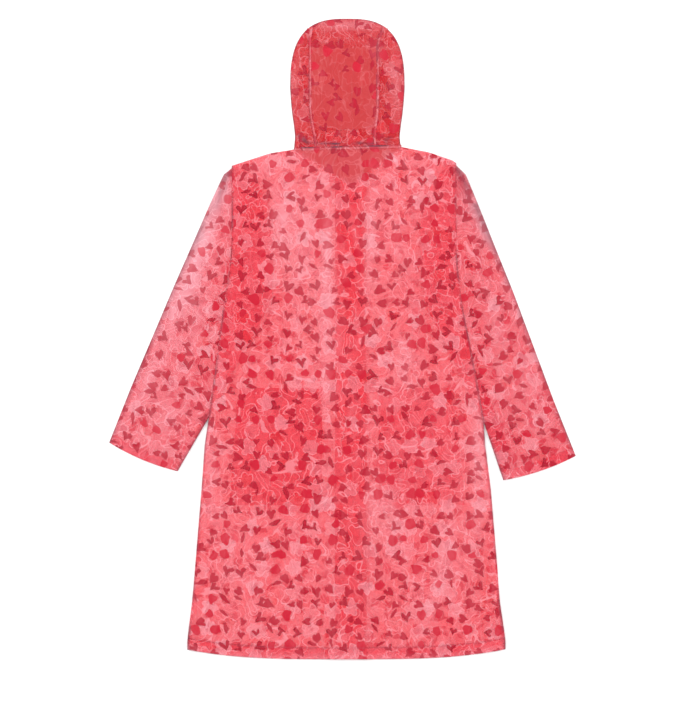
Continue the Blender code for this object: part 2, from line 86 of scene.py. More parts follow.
def pathDistance(x, y, path):
    # the distance from each place to a path, and how far along the path its nearest point is, from 0 to 1
    points = np.array(path, dtype=float)
    run = runAlong(*points.T)
    best, along = np.full(np.shape(x), np.inf), np.zeros(np.shape(x))
    for (ax, ay), (bx, by), start, end in zip(points, points[1:], run, run[1:]):
        t = np.clip(((x - ax) * (bx - ax) + (y - ay) * (by - ay)) / (end - start) ** 2, 0, 1)
        d = np.hypot(x - ax - t * (bx - ax), y - ay - t * (by - ay))
        along = np.where(d < best, mix(start, end, t) / run[-1], along)
        best = np.minimum(best, d)
    return best, along


def creases(x, y, rows):
    # ridges laid one by one: the points of a path, then a height and a half width, in millimetres
    total = np.zeros_like(x)
    for *path, height, width in rows:
        d, along = pathDistance(x * 1000, y * 1000, path)
        ends = smooth(along / 0.3) * smooth((1 - along) / 0.3)
        total = np.maximum(total, height / 1000 * ends * np.exp(-((d / width) ** 2) * 1.8))
    return total


def patches(x, y, rows):
    # soft patches: x, y, half width and half length in millimetres, turn in degrees, strength
    total = np.zeros_like(x)
    for px, py, rx, ry, turn, strength in rows:
        u, v = turned(x * 1000 - px, y * 1000 - py, math.radians(turn))
        total += strength * np.exp(-((u / rx) ** 2 + (v / ry) ** 2))
    return total


def addObject(name, data):
    added = bpy.data.objects.new(name, data)
    scene.collection.objects.link(added)
    return added


class Nodes:
    # short calls for a node tree; most give the new node's output

    def __init__(self, tree):
        self.tree = tree

    def new(self, kind, given=None, **settings):
        node = self.tree.nodes.new(kind)
        for key, value in settings.items():
            setattr(node, key, value)
        for key, value in (given or {}).items():
            self.put(value, node.inputs[key])
        return node

    def put(self, value, socket):
        if isinstance(value, bpy.types.NodeSocket):
            self.tree.links.new(value, socket)
        else:
            socket.default_value = value

    def math(self, operation, *values, clamp=False):
        given = dict(enumerate(values))
        return self.new("ShaderNodeMath", given, operation=operation, use_clamp=clamp).outputs[0]

    times = functools.partialmethod(math, "MULTIPLY")
    timesPlus = functools.partialmethod(math, "MULTIPLY_ADD")
    minus = functools.partialmethod(math, "SUBTRACT")
    absolute = functools.partialmethod(math, "ABSOLUTE")

    def vector(self, operation, *values):
        node = self.new("ShaderNodeVectorMath", dict(enumerate(values)), operation=operation)
        return node.outputs["Value" if operation in ("LENGTH", "DOT_PRODUCT") else "Vector"]

    def join(self, x, y, z=0.0):
        return self.new("ShaderNodeCombineXYZ", {0: x, 1: y, 2: z}).outputs[0]

    def noise(self, vector, scale, detail=2.0, rough=0.5, twist=0.0, dims="2D"):
        given = {"Vector": vector, "Scale": scale, "Detail": detail, "Roughness": rough, "Distortion": twist}
        return self.new("ShaderNodeTexNoise", given, noise_dimensions=dims).outputs["Fac"]

    def step(self, value, low, high):
        given = {"Value": value, "From Min": low, "From Max": high}
        return self.new("ShaderNodeMapRange", given, interpolation_type="SMOOTHSTEP").outputs[0]

    def blend(self, factor, a, b):
        return self.new("ShaderNodeMix", {"Factor": factor, "A": a, "B": b}, data_type="RGBA").outputs["Result"]

    def bump(self, height, distance):
        return self.new("ShaderNodeBump", {"Strength": 1.0, "Distance": distance, "Height": height}).outputs[0]

    def ramp(self, value, rows, interpolation):
        # rows of a place from 0 to 1 and four numbers; gives the first three as a colour, and the fourth
        node = self.new("ShaderNodeValToRGB", {"Fac": value})
        ramp = node.color_ramp
        ramp.interpolation = interpolation
        while len(ramp.elements) < len(rows):
            ramp.elements.new(1.0)
        for element, (position, numbers) in zip(ramp.elements, rows):
            element.position = position
            element.color = numbers
        return node.outputs["Color"], node.outputs["Alpha"]


def newMaterial(name):
    material = bpy.data.materials.new(name)
    material.use_nodes = True
    return material, Nodes(material.node_tree), material.node_tree.nodes["Principled BSDF"].inputs


def newTree(name, kind, inputs, outputs):
    # a node tree with named sockets: the tree, short calls for it, and the sockets inside it
    tree = bpy.data.node_groups.new(name, kind)
    for way, sockets in (("INPUT", inputs), ("OUTPUT", outputs)):
        for label, socketKind in sockets.items():
            tree.interface.new_socket(label, in_out=way, socket_type="NodeSocket" + socketKind)
    n = Nodes(tree)
    return tree, n, n.new("NodeGroupInput").outputs, n.new("NodeGroupOutput").inputs


# Camera, light and floor.

studio = {
    "centre": (0.0169, -0.0259),  # what the middle of the picture shows
    "frameWidth": 1.575,
    "cameraHeight": 6.5,
    "sensor": 36.0,
    "skyStrength": 1.18,
    # place, width and length, power
    "lights": {
        "keyLight": ((-2.2, 1.6, 3.6), (1.2, 2.6), 60.0),
        "fillLight": ((2.6, 0.6, 3.4), (1.2, 2.4), 32.0),
    },
    "floorSize": 14.0,
    "floorDepth": 0.0006,  # under the coat
    "floorColour": (0.94, 0.94, 0.94, 1.0),
}

camera = bpy.data.cameras.new("camera")
camera.sensor_width = studio["sensor"]
camera.lens = studio["sensor"] * studio["cameraHeight"] / studio["frameWidth"]
camera.clip_end = 50.0
scene.camera = addObject("camera", camera)
scene.camera.location = (*studio["centre"], studio["cameraHeight"])

sky = bpy.data.worlds.new("sky")
sky.use_nodes = True
background = sky.node_tree.nodes["Background"].inputs
background["Color"].default_value = (1.0, 1.0, 1.0, 1.0)
background["Strength"].default_value = studio["skyStrength"]
scene.world = sky
scene.view_settings.view_transform = "Standard"
scene.cycles.transparent_max_bounces = 40
scene.cycles.max_bounces = 6
scene.cycles.diffuse_bounces = 2

for name, (location, size, power) in studio["lights"].items():
    light = bpy.data.lights.new(name, "AREA")
    light.shape = "RECTANGLE"
    light.size, light.size_y = size
    light.energy = power
    softbox = addObject(name, light)
    softbox.location = location
    aimX, aimY, aimZ = -np.array(location) / np.linalg.norm(location)
    softbox.rotation_euler = (math.acos(-aimZ), 0.0, math.atan2(aimY, aimX) - math.pi / 2)

half = studio["floorSize"] / 2
floorMesh = bpy.data.meshes.new("floor")
floorMesh.from_pydata([(-half, -half, 0), (half, -half, 0), (half, half, 0), (-half, half, 0)], [], [(0, 1, 2, 3)])
floor = addObject("floor", floorMesh)
floor.location.z = -studio["floorDepth"]
floorPaint, _, shader = newMaterial("palePaint")
shader["Base Color"].default_value = studio["floorColour"]
shader["Roughness"].default_value = 0.9
shader["Specular IOR Level"].default_value = 0.1
floorMesh.materials.append(floorPaint)
print("camera, light and floor")

# The printed film.

# Leaves scattered over the film, each with one of four outlines, and pale blossoms behind them.
leafPrint = {
    "pitch": 0.0338,
    "scatter": 0.76,
    "length": 0.47,  # of a leaf, in parts of the pitch
    "lean": 3.2,  # how far a leaf may turn away from pointing down, in radians, both ways together
    # angle from the tip in half turns, then the reach there of a heart, a twin leaf, a petal and a slim leaf
    "outlines": (
        (0.00, (1.00, 0.84, 0.90, 1.00)), (0.10, (0.70, 0.56, 0.86, 0.60)), (0.25, (0.56, 0.44, 0.70, 0.38)),
        (0.45, (0.58, 0.50, 0.66, 0.33)), (0.66, (0.72, 0.94, 0.74, 0.36)), (0.80, (0.70, 0.86, 0.84, 0.46)),
        (0.91, (0.46, 0.26, 0.70, 0.66)), (1.00, (0.24, 0.08, 0.66, 0.92)),
    ),
    "shares": (0.0, 0.46, 0.70, 0.88),  # where each outline's share of the leaves starts
    "tones": (0.55, 0.70, 0.16, 0.62),
    "blossomPitch": 0.046,
    "blossomReach": 0.42,
}


def scattered(n, place, pitch, scatter):
    # the nearest leaf or blossom: distance and angle from its middle, distance from its rib, its own chance values
    given = {"Vector": place, "Scale": 1 / pitch, "Randomness": scatter}
    node = n.new("ShaderNodeTexVoronoi", given, voronoi_dimensions="2D", feature="F1")
    chance = n.new("ShaderNodeSeparateColor", {0: node.outputs["Color"]}).outputs
    lean = leafPrint["lean"]
    given = {
        "Vector": n.vector("SUBTRACT", place, node.outputs["Position"]),
        "Angle": n.timesPlus(chance[0], lean, math.pi - lean / 2),
    }
    local = n.new("ShaderNodeVectorRotate", given, rotation_type="Z_AXIS").outputs[0]
    x, y, _ = n.new("ShaderNodeSeparateXYZ", {0: local}).outputs
    fromRib = n.absolute(x)
    angle = n.times(n.math("ARCTAN2", fromRib, y), 1 / math.pi)
    return n.times(n.vector("LENGTH", local), 1 / pitch), angle, fromRib, chance


def makePrintGroup():
    outputs = dict.fromkeys(("Leaf", "Tone", "Blush", "Line"), "Float")
    tree, n, given, out = newTree("leafPrint", "ShaderNodeTree", {"Place": "Vector"}, outputs)
    look, place = leafPrint, given["Place"]
    waver = n.noise(place, 70.0, 0.0)
    bent = n.vector("ADD", place, n.join(n.times(waver, 0.006), n.times(waver, -0.006)))
    reach, angle, fromRib, chance = scattered(n, bent, look["pitch"], look["scatter"])
    outline = n.ramp(angle, look["outlines"], "LINEAR")
    rows = [(start, tuple(float(i == k) for k in range(4))) for i, start in enumerate(look["shares"])]
    picked = n.ramp(chance[1], rows, "CONSTANT")
    shape = n.timesPlus(outline[1], picked[1], n.vector("DOT_PRODUCT", outline[0], picked[0]))
    tone = n.timesPlus(picked[1], look["tones"][3], n.vector("DOT_PRODUCT", picked[0], look["tones"][:3]))
    size = n.timesPlus(chance[2], 0.36, 0.68)
    depth = n.minus(n.times(shape, n.times(size, look["length"])), reach)
    leaf = n.step(depth, -0.008, 0.020)
    rib = n.step(fromRib, 0.0014, 0.0004)
    shade = n.timesPlus(n.step(depth, 0.03, 0.14), -0.30, n.timesPlus(rib, 0.20, 1.15))
    n.put(leaf, out["Leaf"])
    n.put(n.times(tone, shade, clamp=True), out["Tone"])
    reach, angle, _, chance = scattered(n, bent, look["blossomPitch"], 0.9)
    lobes = n.absolute(n.math("SINE", n.times(angle, 2.5 * math.pi)))
    depth = n.minus(n.times(n.timesPlus(lobes, 0.35, 0.70), look["blossomReach"]), reach)
    kind = n.minus(n.times(chance[1], 2.4), 1.0)
    n.put(n.times(n.step(depth, -0.01, 0.07), kind), out["Blush"])
    edge = n.step(n.absolute(n.minus(depth, 0.02)), 0.034, 0.010)
    ring = n.step(n.absolute(n.minus(reach, 0.11)), 0.026, 0.008)
    swirl = n.math("FRACT", n.times(n.noise(place, 22.0, 0.0, twist=0.8), 4.0))
    swirl = n.absolute(n.minus(swirl, 0.5))
    pale = n.math("MAXIMUM", edge, n.step(swirl, 0.075, 0.020))
    dark = n.times(n.math("MAXIMUM", ring, n.step(swirl, 0.430, 0.480)), 0.45)
    lines = n.minus(pale, dark)  # above 0 pale, below 0 dark
    n.put(n.times(lines, n.minus(1.0, leaf)), out["Line"])
    return tree


def makeCrinkleGroup():
    # fine crinkles of soft film, with a painted sheen where it lifts and painted highlights along its ridges
    outputs = dict.fromkeys(("Height", "LiftSheen", "RidgeHighlight"), "Float")
    tree, n, given, out = newTree("filmCrinkle", "ShaderNodeTree", {"Place": "Vector"}, outputs)
    soft = n.noise(n.vector("MULTIPLY", given["Place"], (1.0, 0.5, 1.0)), 30.0, 2.0, 0.55, 0.4)
    sharp = n.timesPlus(n.absolute(n.minus(soft, 0.5)), -7.0, 1.0, clamp=True)
    n.put(n.timesPlus(sharp, 0.6, soft), out["Height"])
    n.put(n.step(soft, 0.45, 0.75), out["LiftSheen"])
    n.put(n.times(sharp, sharp), out["RidgeHighlight"])
    return tree


printGroup = makePrintGroup()
crinkleGroup = makeCrinkleGroup()

filmLook = {
    "ground": (0.90, 0.058, 0.088, 1.0),
    # the colour of painted shade, where only one layer of film shows
    "oneLayerShade": (0.48, 0.040, 0.044, 1.0),
    # the colour of painted sheen and painted highlights
    "pale": (0.98, 0.50, 0.57, 1.0),
    "blush": (0.95, 0.34, 0.40, 1.0),
    "rose": (0.86, 0.018, 0.034, 1.0),
    "line": (0.97, 0.46, 0.52, 1.0),
    "stem": (0.50, 0.050, 0.085, 1.0),
    "leafDark": (0.32, 0.004, 0.020, 1.0),
    "leafLight": (0.64, 0.008, 0.032, 1.0),
    # dark seam lines where the film doubles, and painted shade along folded edges and gathers
    "foldSeamShade": (0.13, 0.030, 0.050, 1.0),  # along folded edges
    "alpha": 0.29,
    "leafAlpha": 0.66,
    "roughness": 0.30,
    "bump": 0.0016,
}


# A piece may get more painted sheen all over, and may have its crinkles' painted sheen and the print's blush scaled
# down together.
def filmMaterial(name, ground, alpha=filmLook["alpha"], lift=0.0, sheenAndBlush=1.0, printStrength=1.0, lineStrength=1.0):
    look = filmLook
    material, n, shader = newMaterial(name)
    place = {"Place": n.new("ShaderNodeUVMap", uv_map="cloth").outputs[0]}
    marks = n.new("ShaderNodeAttribute", attribute_name="marks").outputs["Color"]
    # The marks give painted sheen, dark lines with painted shade along folds, and painted shade where only one layer
    # shows.
    paintedSheen, edge, loneShade = n.new("ShaderNodeSeparateColor", {0: marks}).outputs
    leaf = n.new("ShaderNodeGroup", place, node_tree=printGroup).outputs
    crinkle = n.new("ShaderNodeGroup", place, node_tree=crinkleGroup).outputs
    # painted sheen: from the marks, over raised crinkles, and as highlights along their ridges
    sheenMask = n.timesPlus(crinkle["LiftSheen"], 0.14 * sheenAndBlush, n.math("ADD", paintedSheen, lift))
    sheenMask = n.timesPlus(crinkle["RidgeHighlight"], 0.24 * sheenAndBlush, sheenMask, clamp=True)
    line = n.times(leaf["Line"], lineStrength)
    printed = n.times(leaf["Leaf"], printStrength)
    edge = n.times(edge, n.timesPlus(crinkle["LiftSheen"], -0.85, 1.0))  # the outline comes and goes
    colour = ground
    # the print's blossoms, painted sheen, the print's lines, then painted shade where only one layer shows
    for mask, strength, tint in (
        (leaf["Blush"], 0.50 * sheenAndBlush, "blush"), (leaf["Blush"], -0.75, "rose"), (sheenMask, 0.72, "pale"),
        (line, 0.55, "line"), (line, -0.60, "stem"), (loneShade, 0.78, "oneLayerShade"),
    ):
        colour = n.blend(n.times(mask, strength, clamp=True), colour, look[tint])
    leafColour = n.blend(leaf["Tone"], look["leafLight"], look["leafDark"])
    # painted sheen lightens the leaves too
    leafColour = n.blend(n.times(sheenMask, 0.30), leafColour, look["blush"])
    colour = n.blend(printed, colour, leafColour)
    # dark seam lines, and painted shade along folds and gathers
    n.put(n.blend(n.times(edge, 0.80), colour, look["foldSeamShade"]), shader["Base Color"])
    clear = n.timesPlus(n.absolute(line), 0.16, n.timesPlus(sheenMask, 0.18, alpha))
    clear = n.math("MAXIMUM", n.timesPlus(loneShade, 0.42, clear), n.times(printed, look["leafAlpha"]))
    n.put(n.timesPlus(edge, 0.4, clear, clamp=True), shader["Alpha"])
    n.put(n.bump(crinkle["Height"], look["bump"]), shader["Normal"])
    n.put(n.timesPlus(crinkle["LiftSheen"], 0.10, look["roughness"]), shader["Roughness"])
    shader["IOR"].default_value = 1.5
    shader["Specular IOR Level"].default_value = 0.22
    return material


bodyFilm = filmMaterial("bodyFilm", filmLook["ground"], lineStrength=0.85)
frontFilm = filmMaterial("frontFilm", (0.90, 0.046, 0.072, 1.0), printStrength=0.85, lineStrength=0.5)
# the sleeves get more painted sheen all over
sleeveFilm = filmMaterial("sleeveFilm", (0.86, 0.058, 0.092, 1.0), lift=0.07, alpha=0.28, lineStrength=0.9)
hoodFilm = filmMaterial("hoodFilm", (0.68, 0.018, 0.026, 1.0), sheenAndBlush=0.38, alpha=0.38, lineStrength=0.55)
pocketFilm = filmMaterial(
    "pocketFilm", (0.90, 0.022, 0.038, 1.0), sheenAndBlush=0.4, alpha=0.34, printStrength=0.7, lineStrength=0.4
)
print("printed film")

# The body's outline, from the same sizes as the solids.

body = {
    "wall": 0.0012, "seam": 0.0003, "foldGap": 0.0006, "foldInset": 0.0025, "film": 0.0005, "band": 0.0008,
    "hemLow": -0.7193, "hemRise": 0.0222, "hemPower": 3.3, "hemMiddle": 0.0068, "hemHalf": 0.3565, "hemDepth": 0.026,
    "placketLeft": -0.0169, "placketRight": 0.0551, "lapSetback": 0.0045, "lapLift": 0.003, "lapRamp": 0.034,
    "neck": (0.0191, 0.3465), "warpTop": 0.16, "warpBottom": -0.52, "pitch": 0.0075,
    "sides": {
        "y": (-0.700, -0.600, -0.508, -0.335, -0.239, -0.173, -0.106, -0.027, 0.074, 0.158, 0.223, 0.389),
        "left": (-0.3483, -0.3378, -0.3305, -0.3163, -0.3094, -0.2997, -0.2903, -0.2801, -0.2666, -0.2531, -0.2486,
                 -0.2486),
        "right": (0.3660, 0.3535, 0.3473, 0.3328, 0.3206, 0.3161, 0.3038, 0.2891, 0.2689, 0.2588, 0.2554, 0.2554),
    },
    "shoulders": {
        "x": (-0.2486, -0.1631, -0.1013, 0.1262, 0.1924, 0.2464, 0.2554),
        "y": (0.3888, 0.4169, 0.4268, 0.4325, 0.4196, 0.4012, 0.3949),
    },
}
layer = body["wall"] + body["seam"]

hood = {
    "middle": 0.0110, "half": 0.1285, "widestY": 0.56025, "crown": 0.15905, "roundness": 2.85, "loft": 0.008,
    "sides": {
        "y": (0.4298, 0.4388, 0.4545, 0.4815, 0.5040, 0.5265, 0.56025),
        "half": (0.1204, 0.1188, 0.1172, 0.1203, 0.1236, 0.1260, 0.1285),
    },
    "rows": {
        "y": (0.6953, 0.6773, 0.6548, 0.6233, 0.5873, 0.5513, 0.5198, 0.4973, 0.4793, 0.4680, 0.4568, 0.4478, 0.4390,
              0.4298),
        "seamLeft": (-0.0702, -0.0727, -0.0731, -0.0731, -0.0731, -0.0731, -0.0731, -0.0709, -0.0675, -0.0653, -0.0630,
                     -0.0619, -0.0613, -0.0608),
        "seamRight": (0.0905, 0.0821, 0.0790, 0.0790, 0.0790, 0.0790, 0.0788, 0.0765, 0.0743, 0.0731, 0.0720, 0.0720,
                      0.0717, 0.0714),
        "rimY": (0.6953, 0.6773, 0.6548, 0.6233, 0.5873, 0.5513, 0.5198, 0.4973, 0.4770, 0.4680, 0.4478, 0.4253, 0.3900,
                 0.3465),
        "rimLeft": (-0.0702, -0.0727, -0.0731, -0.0709, -0.0709, -0.0709, -0.0706, -0.0664, -0.0563, 0.0191, 0.0191,
                    0.0191, 0.0191, 0.0191),
        "rimRight": (0.0905, 0.0821, 0.0790, 0.0790, 0.0790, 0.0785, 0.0770, 0.0754, 0.0664, 0.0191, 0.0191, 0.0191,
                     0.0191, 0.0191),
    },
    # its lowest row, where its rows start to run level, the face opening, where the crown starts, its highest row
    "bottom": 0.4298, "level": 0.4390, "faceLow": 0.4720, "faceTop": 0.6548, "crownStart": 0.6775, "top": 0.6953,
}

# how the back settles: ramps inside its sides, neck and hem, the air left there, and where the lap ends at the neck
resting = {
    "sideRamp": 0.07, "neckRamp": 0.06, "hemRamp": 0.02, "edgeAir": 0.0003, "air": 0.0012, "hemAir": 0.0015,
    "lapEnd": 0.0325,
}


def hemLine(x):
    return body["hemLow"] + body["hemRise"] * (np.abs(x - body["hemMiddle"]) / body["hemHalf"]) ** body["hemPower"]


def backTop(x):
    return interp(body["shoulders"], "y", x, by="x")


def nape(x):
    (x0, x1), (y0, y1) = body["shoulders"]["x"][2:4], body["shoulders"]["y"][2:4]
    return mix(y0, y1, (x - x0) / (x1 - x0)) + body["seam"]


def neckV(x):
    centreX, lowY = body["neck"]
    cornerX = hood["middle"] + np.where(x >= centreX, 1.0, -1.0) * hood["sides"]["half"][0]
    share = np.minimum((x - centreX) / (cornerX - centreX), 1.0)
    return mix(lowY, nape(cornerX), share)


def frontTop(x):
    return np.minimum(backTop(x), neckV(x) - body["seam"])


topRow = float(backTop(body["neck"][0]))


def rowY(row, x, top):
    up = smooth((row - body["warpTop"]) / (topRow - body["warpTop"]))
    down = smooth((body["warpBottom"] - row) / (body["warpBottom"] - (body["hemLow"] + body["hemDepth"])))
    return row + up * (top(x) - topRow) + down * (hemLine(x) - body["hemLow"])


def leftSide(y):
    return interp(body["sides"], "left", y)


def rightSide(y):
    return interp(body["sides"], "right", y)


def fromSides(x, y):  # how far inside the nearer side of the body
    return np.minimum(x - leftSide(y), rightSide(y) - x)


pocket = {
    "top": -0.110, "bottom": -0.3735, "outer": 0.22, "inner": 0.90, "ramp": 0.016, "band": 0.022,
    "first": {"left": 0, "right": 2},  # where each pocket's edges start among pocketEdges
}


def pocketEdges(y):
    # the outer and inner edge of the left pocket, then the inner and outer edge of the right one
    left, right = leftSide(y), rightSide(y)
    return (
        mix(left, body["placketLeft"], pocket["outer"]), mix(left, body["placketLeft"], pocket["inner"]),
        mix(right, body["placketRight"], pocket["inner"]), mix(right, body["placketRight"], pocket["outer"]),
    )


def pocketLift(x, y):
    a, b, c, d = pocketEdges(y)
    inside = np.maximum(np.minimum(x - a, b - x), np.minimum(x - c, d - x))
    inside = least(inside, y - pocket["bottom"], pocket["top"] - y)
    return layer * smooth(1 + inside / pocket["ramp"])


def lapRise(x):
    return body["lapLift"] * smooth((x - body["placketLeft"]) / body["lapRamp"] + 1)


def lapLift(x):
    return lapRise(x) * (x <= body["placketRight"] + 1e-6)


# Sleeves.

sleeves = {
    "cuffDepth": 0.021, "cuffBow": 0.0068, "cuffBowLength": 0.08, "capBulge": 0.048, "capSkew": 0.6, "loft": 0.003,
    "lift": 0.003, "liftMargin": 0.030, "liftRamp": 0.055, "freeStart": 0.026, "coverMargin": 0.034,
    "coverRamp": 0.070, "coverGap": 0.0004, "pitch": 0.0085, "across": 22,
    "left": {
        "outerX": (-0.5240, -0.4753, -0.3791, -0.2981, -0.2666, -0.2396),
        "outerY": (-0.2325, -0.1096, 0.1170, 0.3015, 0.3690, 0.3904),
        "innerX": (-0.3701, -0.2981, -0.2284, -0.1811, -0.1676, -0.1586),
        "innerY": (-0.2970, -0.1733, -0.0428, 0.0450, 0.0709, 0.0878),
    },
    "right": {
        "outerX": (0.5240, 0.4725, 0.3834, 0.3049, 0.2770, 0.2520),
        "outerY": (-0.2625, -0.1332, 0.1058, 0.3015, 0.3690, 0.3930),
        "innerX": (0.3611, 0.3184, 0.2486, 0.2014, 0.1901, 0.1834),
        "innerY": (-0.3173, -0.1913, -0.0473, 0.0495, 0.0731, 0.0878),
    },
}
for table, toward in ((sleeves["left"], 1.0), (sleeves["right"], -1.0)):
    table["toward"] = toward  # from the sleeve to the body
    table["distance"] = runAlong(*((np.array(table["outer" + k]) + table["inner" + k]) / 2 for k in "XY"))
    runX, runY = (np.mean(table["outer" + k][2:4]) - np.mean(table["outer" + k][:2]) for k in "XY")
    table["turn"] = math.atan2(-runX, runY)


def capBulge(across):
    return sleeves["capBulge"] * np.sin(np.pi * across ** sleeves["capSkew"])


def sleevePoint(table, distance, across):
    reach = table["distance"]
    x, y = (mix(*(np.interp(distance, reach, table[edge + k]) for edge in ("outer", "inner")), across) for k in "XY")
    nearCap = smooth((distance - reach[2]) / (reach[-1] - reach[2]))
    bow = sleeves["cuffBow"] * 4 * across * (1 - across) * (1 - smooth(distance / sleeves["cuffBowLength"]))
    runX, runY = (table["outer" + k][1] - table["outer" + k][0] for k in "XY")
    length = math.hypot(runX, runY)
    return x + table["toward"] * nearCap * capBulge(across) - bow * runX / length, y - bow * runY / length


def sleeveReach(table, y):
    # the sleeve's inner outline, under the back
    (topX, lowX), (topY, lowY) = ((table["outer" + k][-1], table["inner" + k][-1]) for k in "XY")
    across = np.clip((topY - y) / (topY - lowY), 0, 1)
    cap = mix(topX, lowX, across) + table["toward"] * capBulge(across)
    return np.where(y > lowY, cap, np.interp(y, table["innerY"], table["innerX"]))


def beyondBody(x, y):
    return -fromSides(x, y)


def sleeveFloor(x, y):
    return sleeves["lift"] * (1 - smooth((beyondBody(x, y) - sleeves["liftMargin"]) / sleeves["liftRamp"]))


sleeveTop = sleeves["lift"] + 2 * body["wall"] + body["foldGap"]


def sleeveCover(x, y):
    depth = np.minimum(x - sleeveReach(sleeves["left"], y), sleeveReach(sleeves["right"], y) - x)
    share = 1 - smooth((depth - sleeves["coverMargin"]) / sleeves["coverRamp"])
    return (sleeveTop + sleeves["coverGap"]) * share


def backFloor(x, y):
    settled = smooth(fromSides(x, y) / resting["sideRamp"])
    belowNeck = smooth((backTop(x) - y) / resting["neckRamp"])
    air = body["seam"] + settled * (resting["edgeAir"] + belowNeck * resting["air"])
    lap = lapRise(x) * smooth((body["placketRight"] - x) / body["lapRamp"] + 1)
    lap *= np.clip((topRow - y) / (topRow - body["neck"][1] - resting["lapEnd"]), 0, 1)
    hem = resting["hemAir"] * smooth((body["hemDepth"] + resting["hemRamp"] - (y - hemLine(x))) / resting["hemRamp"])
    return np.maximum(np.maximum(pocketLift(x, y), lap) + body["wall"] + hem + air, sleeveCover(x, y))


# Making shells.


def shellMesh(name, upper, under, material, uv, marks, ring=False):
    # a closed film between two grids of points, with its flat place on the cloth and its marks
    count = upper[..., 0].size
    index = np.arange(count).reshape(upper.shape[:2])
    rims = [(index[:, 0], 1), (index[:, -1], -1)]
    if ring:
        index, rims = np.hstack([index, index[:, :1]]), []
    a, b, c, d = index[:-1, :-1], index[:-1, 1:], index[1:, 1:], index[1:, :-1]
    faces = [grid(a, b, c, d), grid(a, d, c, b) + count]
    for rim, way in [(index[0], -1), (index[-1], 1), *rims]:
        faces.append(grid(rim[:-1], rim[1:], rim[1:] + count, rim[:-1] + count)[:, ::way])
    faces = np.concatenate([part.reshape(-1, 4) for part in faces])
    mesh = bpy.data.meshes.new(name)
    mesh.from_pydata(np.concatenate([upper.reshape(-1, 3), under.reshape(-1, 3)]).tolist(), [], faces.tolist())
    corner = np.empty(len(mesh.loops), dtype=np.int32)
    mesh.loops.foreach_get("vertex_index", corner)
    flat = np.tile(uv.reshape(-1, 2), (2, 1))[corner]
    mesh.uv_layers.new(name="cloth").data.foreach_set("uv", flat.astype(np.float32).ravel())
    colours = np.tile(np.insert(marks.reshape(-1, 3), 3, 1.0, axis=1), (2, 1))
    attribute = mesh.attributes.new("marks", "FLOAT_COLOR", "POINT")
    attribute.data.foreach_set("color", colours.astype(np.float32).ravel())
    work = bmesh.new()
    work.from_mesh(mesh)
    bmesh.ops.recalc_face_normals(work, faces=work.faces)
    work.to_mesh(mesh)
    work.free()
    mesh.shade_smooth()
    mesh.set_sharp_from_angle(angle=math.radians(50))
    mesh.materials.append(material)
    return addObject(name, mesh)


def panel(name, x, y, z, material, paintedSheen=0.0, edge=0.0, loneShade=0.0, turn=0.0, shift=(0.0, 0.0), mirror=False):
    # a flat piece whose underside is z
    u, v = turned(x, y, turn)
    uv = grid((-u if mirror else u) + shift[0], v + shift[1])
    marks = grid(x * 0 + paintedSheen, edge, loneShade)
    return shellMesh(name, grid(x, y, z + body["film"]), grid(x, y, z), material, uv, marks)


def bodyGrid(u, rows, leftOf, rightOf, top):
    row, share = np.meshgrid(rows, u, indexing="ij")
    x = mix(leftOf(row), rightOf(row), share)
    return x, rowY(row, x, top)


def edgeColumns(width, pitch, near=(0.0025, 0.005, 0.010)):
    n = np.array(near) / width
    return joined(steps(0.0, 1.0, pitch / width), n, 1 - n)


hemTop = body["hemDepth"]
hemRows = body["hemLow"] + np.array([0.0025, 0.005, hemTop - 0.003, hemTop, hemTop + 0.003])
bodyRows = joined(steps(body["hemLow"], topRow, body["pitch"]), hemRows, topRow - 0.004)

# Back.

back = {
    "creases": (
        ((-36, 372), (-34, 200), (-38, 20), 5.2, 16), ((-40, -20), (-36, -140), (-40, -250), 3.6, 16),
        ((60, 352), (64, 230), (72, 90), 4.2, 15), ((-138, 352), (-134, 240), (-120, 120), 3.0, 18),
        ((140, 20), (148, -60), (152, -200), 3.6, 18), ((118, 330), (126, 210), (150, 60), 2.2, 16),
        ((-82, 300), (-88, 140), (-80, -60), 2.2, 14), ((-192, -110), (-176, -300), (-150, -520), 2.8, 18),
        ((226, -440), (212, -560), (190, -672), 4.4, 16), ((96, -330), (104, -440), (96, -560), 3.2, 20),
        ((6, -280), (0, -460), (-4, -640), 2.8, 16), ((-250, -400), (-262, -520), (-286, -650), 3.0, 18),
        ((-90, -420), (-80, -540), (-96, -660), 2.2, 14), ((290, -330), (296, -470), (318, -620), 2.6, 16),
        ((150, -520), (140, -600), (146, -690), 2.0, 12), ((-200, 396), (-150, 330), (-120, 250), 2.6, 14),
        ((196, 392), (160, 330), (130, 270), 2.6, 13), ((-60, 400), (-90, 350), (-130, 310), 1.8, 10),
        ((90, 402), (112, 350), (140, 310), 1.8, 10),
    ),
    # painted sheen: soft patches where the film catches the light, and less of it where negative
    "paintedSheen": (
        (-100, 230, 50, 120, 0, 0.42), (-34, 190, 13, 150, 0, 0.62), (-139, 270, 20, 60, 0, 0.42),
        (62, 215, 13, 110, -3, 0.50), (118, 240, 40, 110, 0, 0.20), (-36, -110, 12, 110, 0, 0.30),
        (-60, 40, 50, 90, 0, 0.22), (140, -50, 30, 60, 0, 0.42), (95, -400, 45, 80, 0, 0.36),
        (210, -560, 18, 90, -18, 0.42), (-300, -300, 14, 130, 0, 0.20), (308, -300, 22, 130, 0, 0.30),
        (-240, -520, 60, 120, 0, 0.14), (260, -450, 40, 120, 0, 0.16), (-150, 395, 70, 20, 18, 0.30),
        (150, 400, 60, 16, -15, 0.20), (-215, 170, 34, 150, 0, -0.45), (225, 150, 30, 140, 0, -0.20),
        (-205, -60, 50, 90, 0, -0.30), (-140, -240, 80, 120, 0, -0.32), (-292, -250, 18, 120, 0, 0.25),
        (306, -240, 20, 120, 0, 0.30),
    ),
}

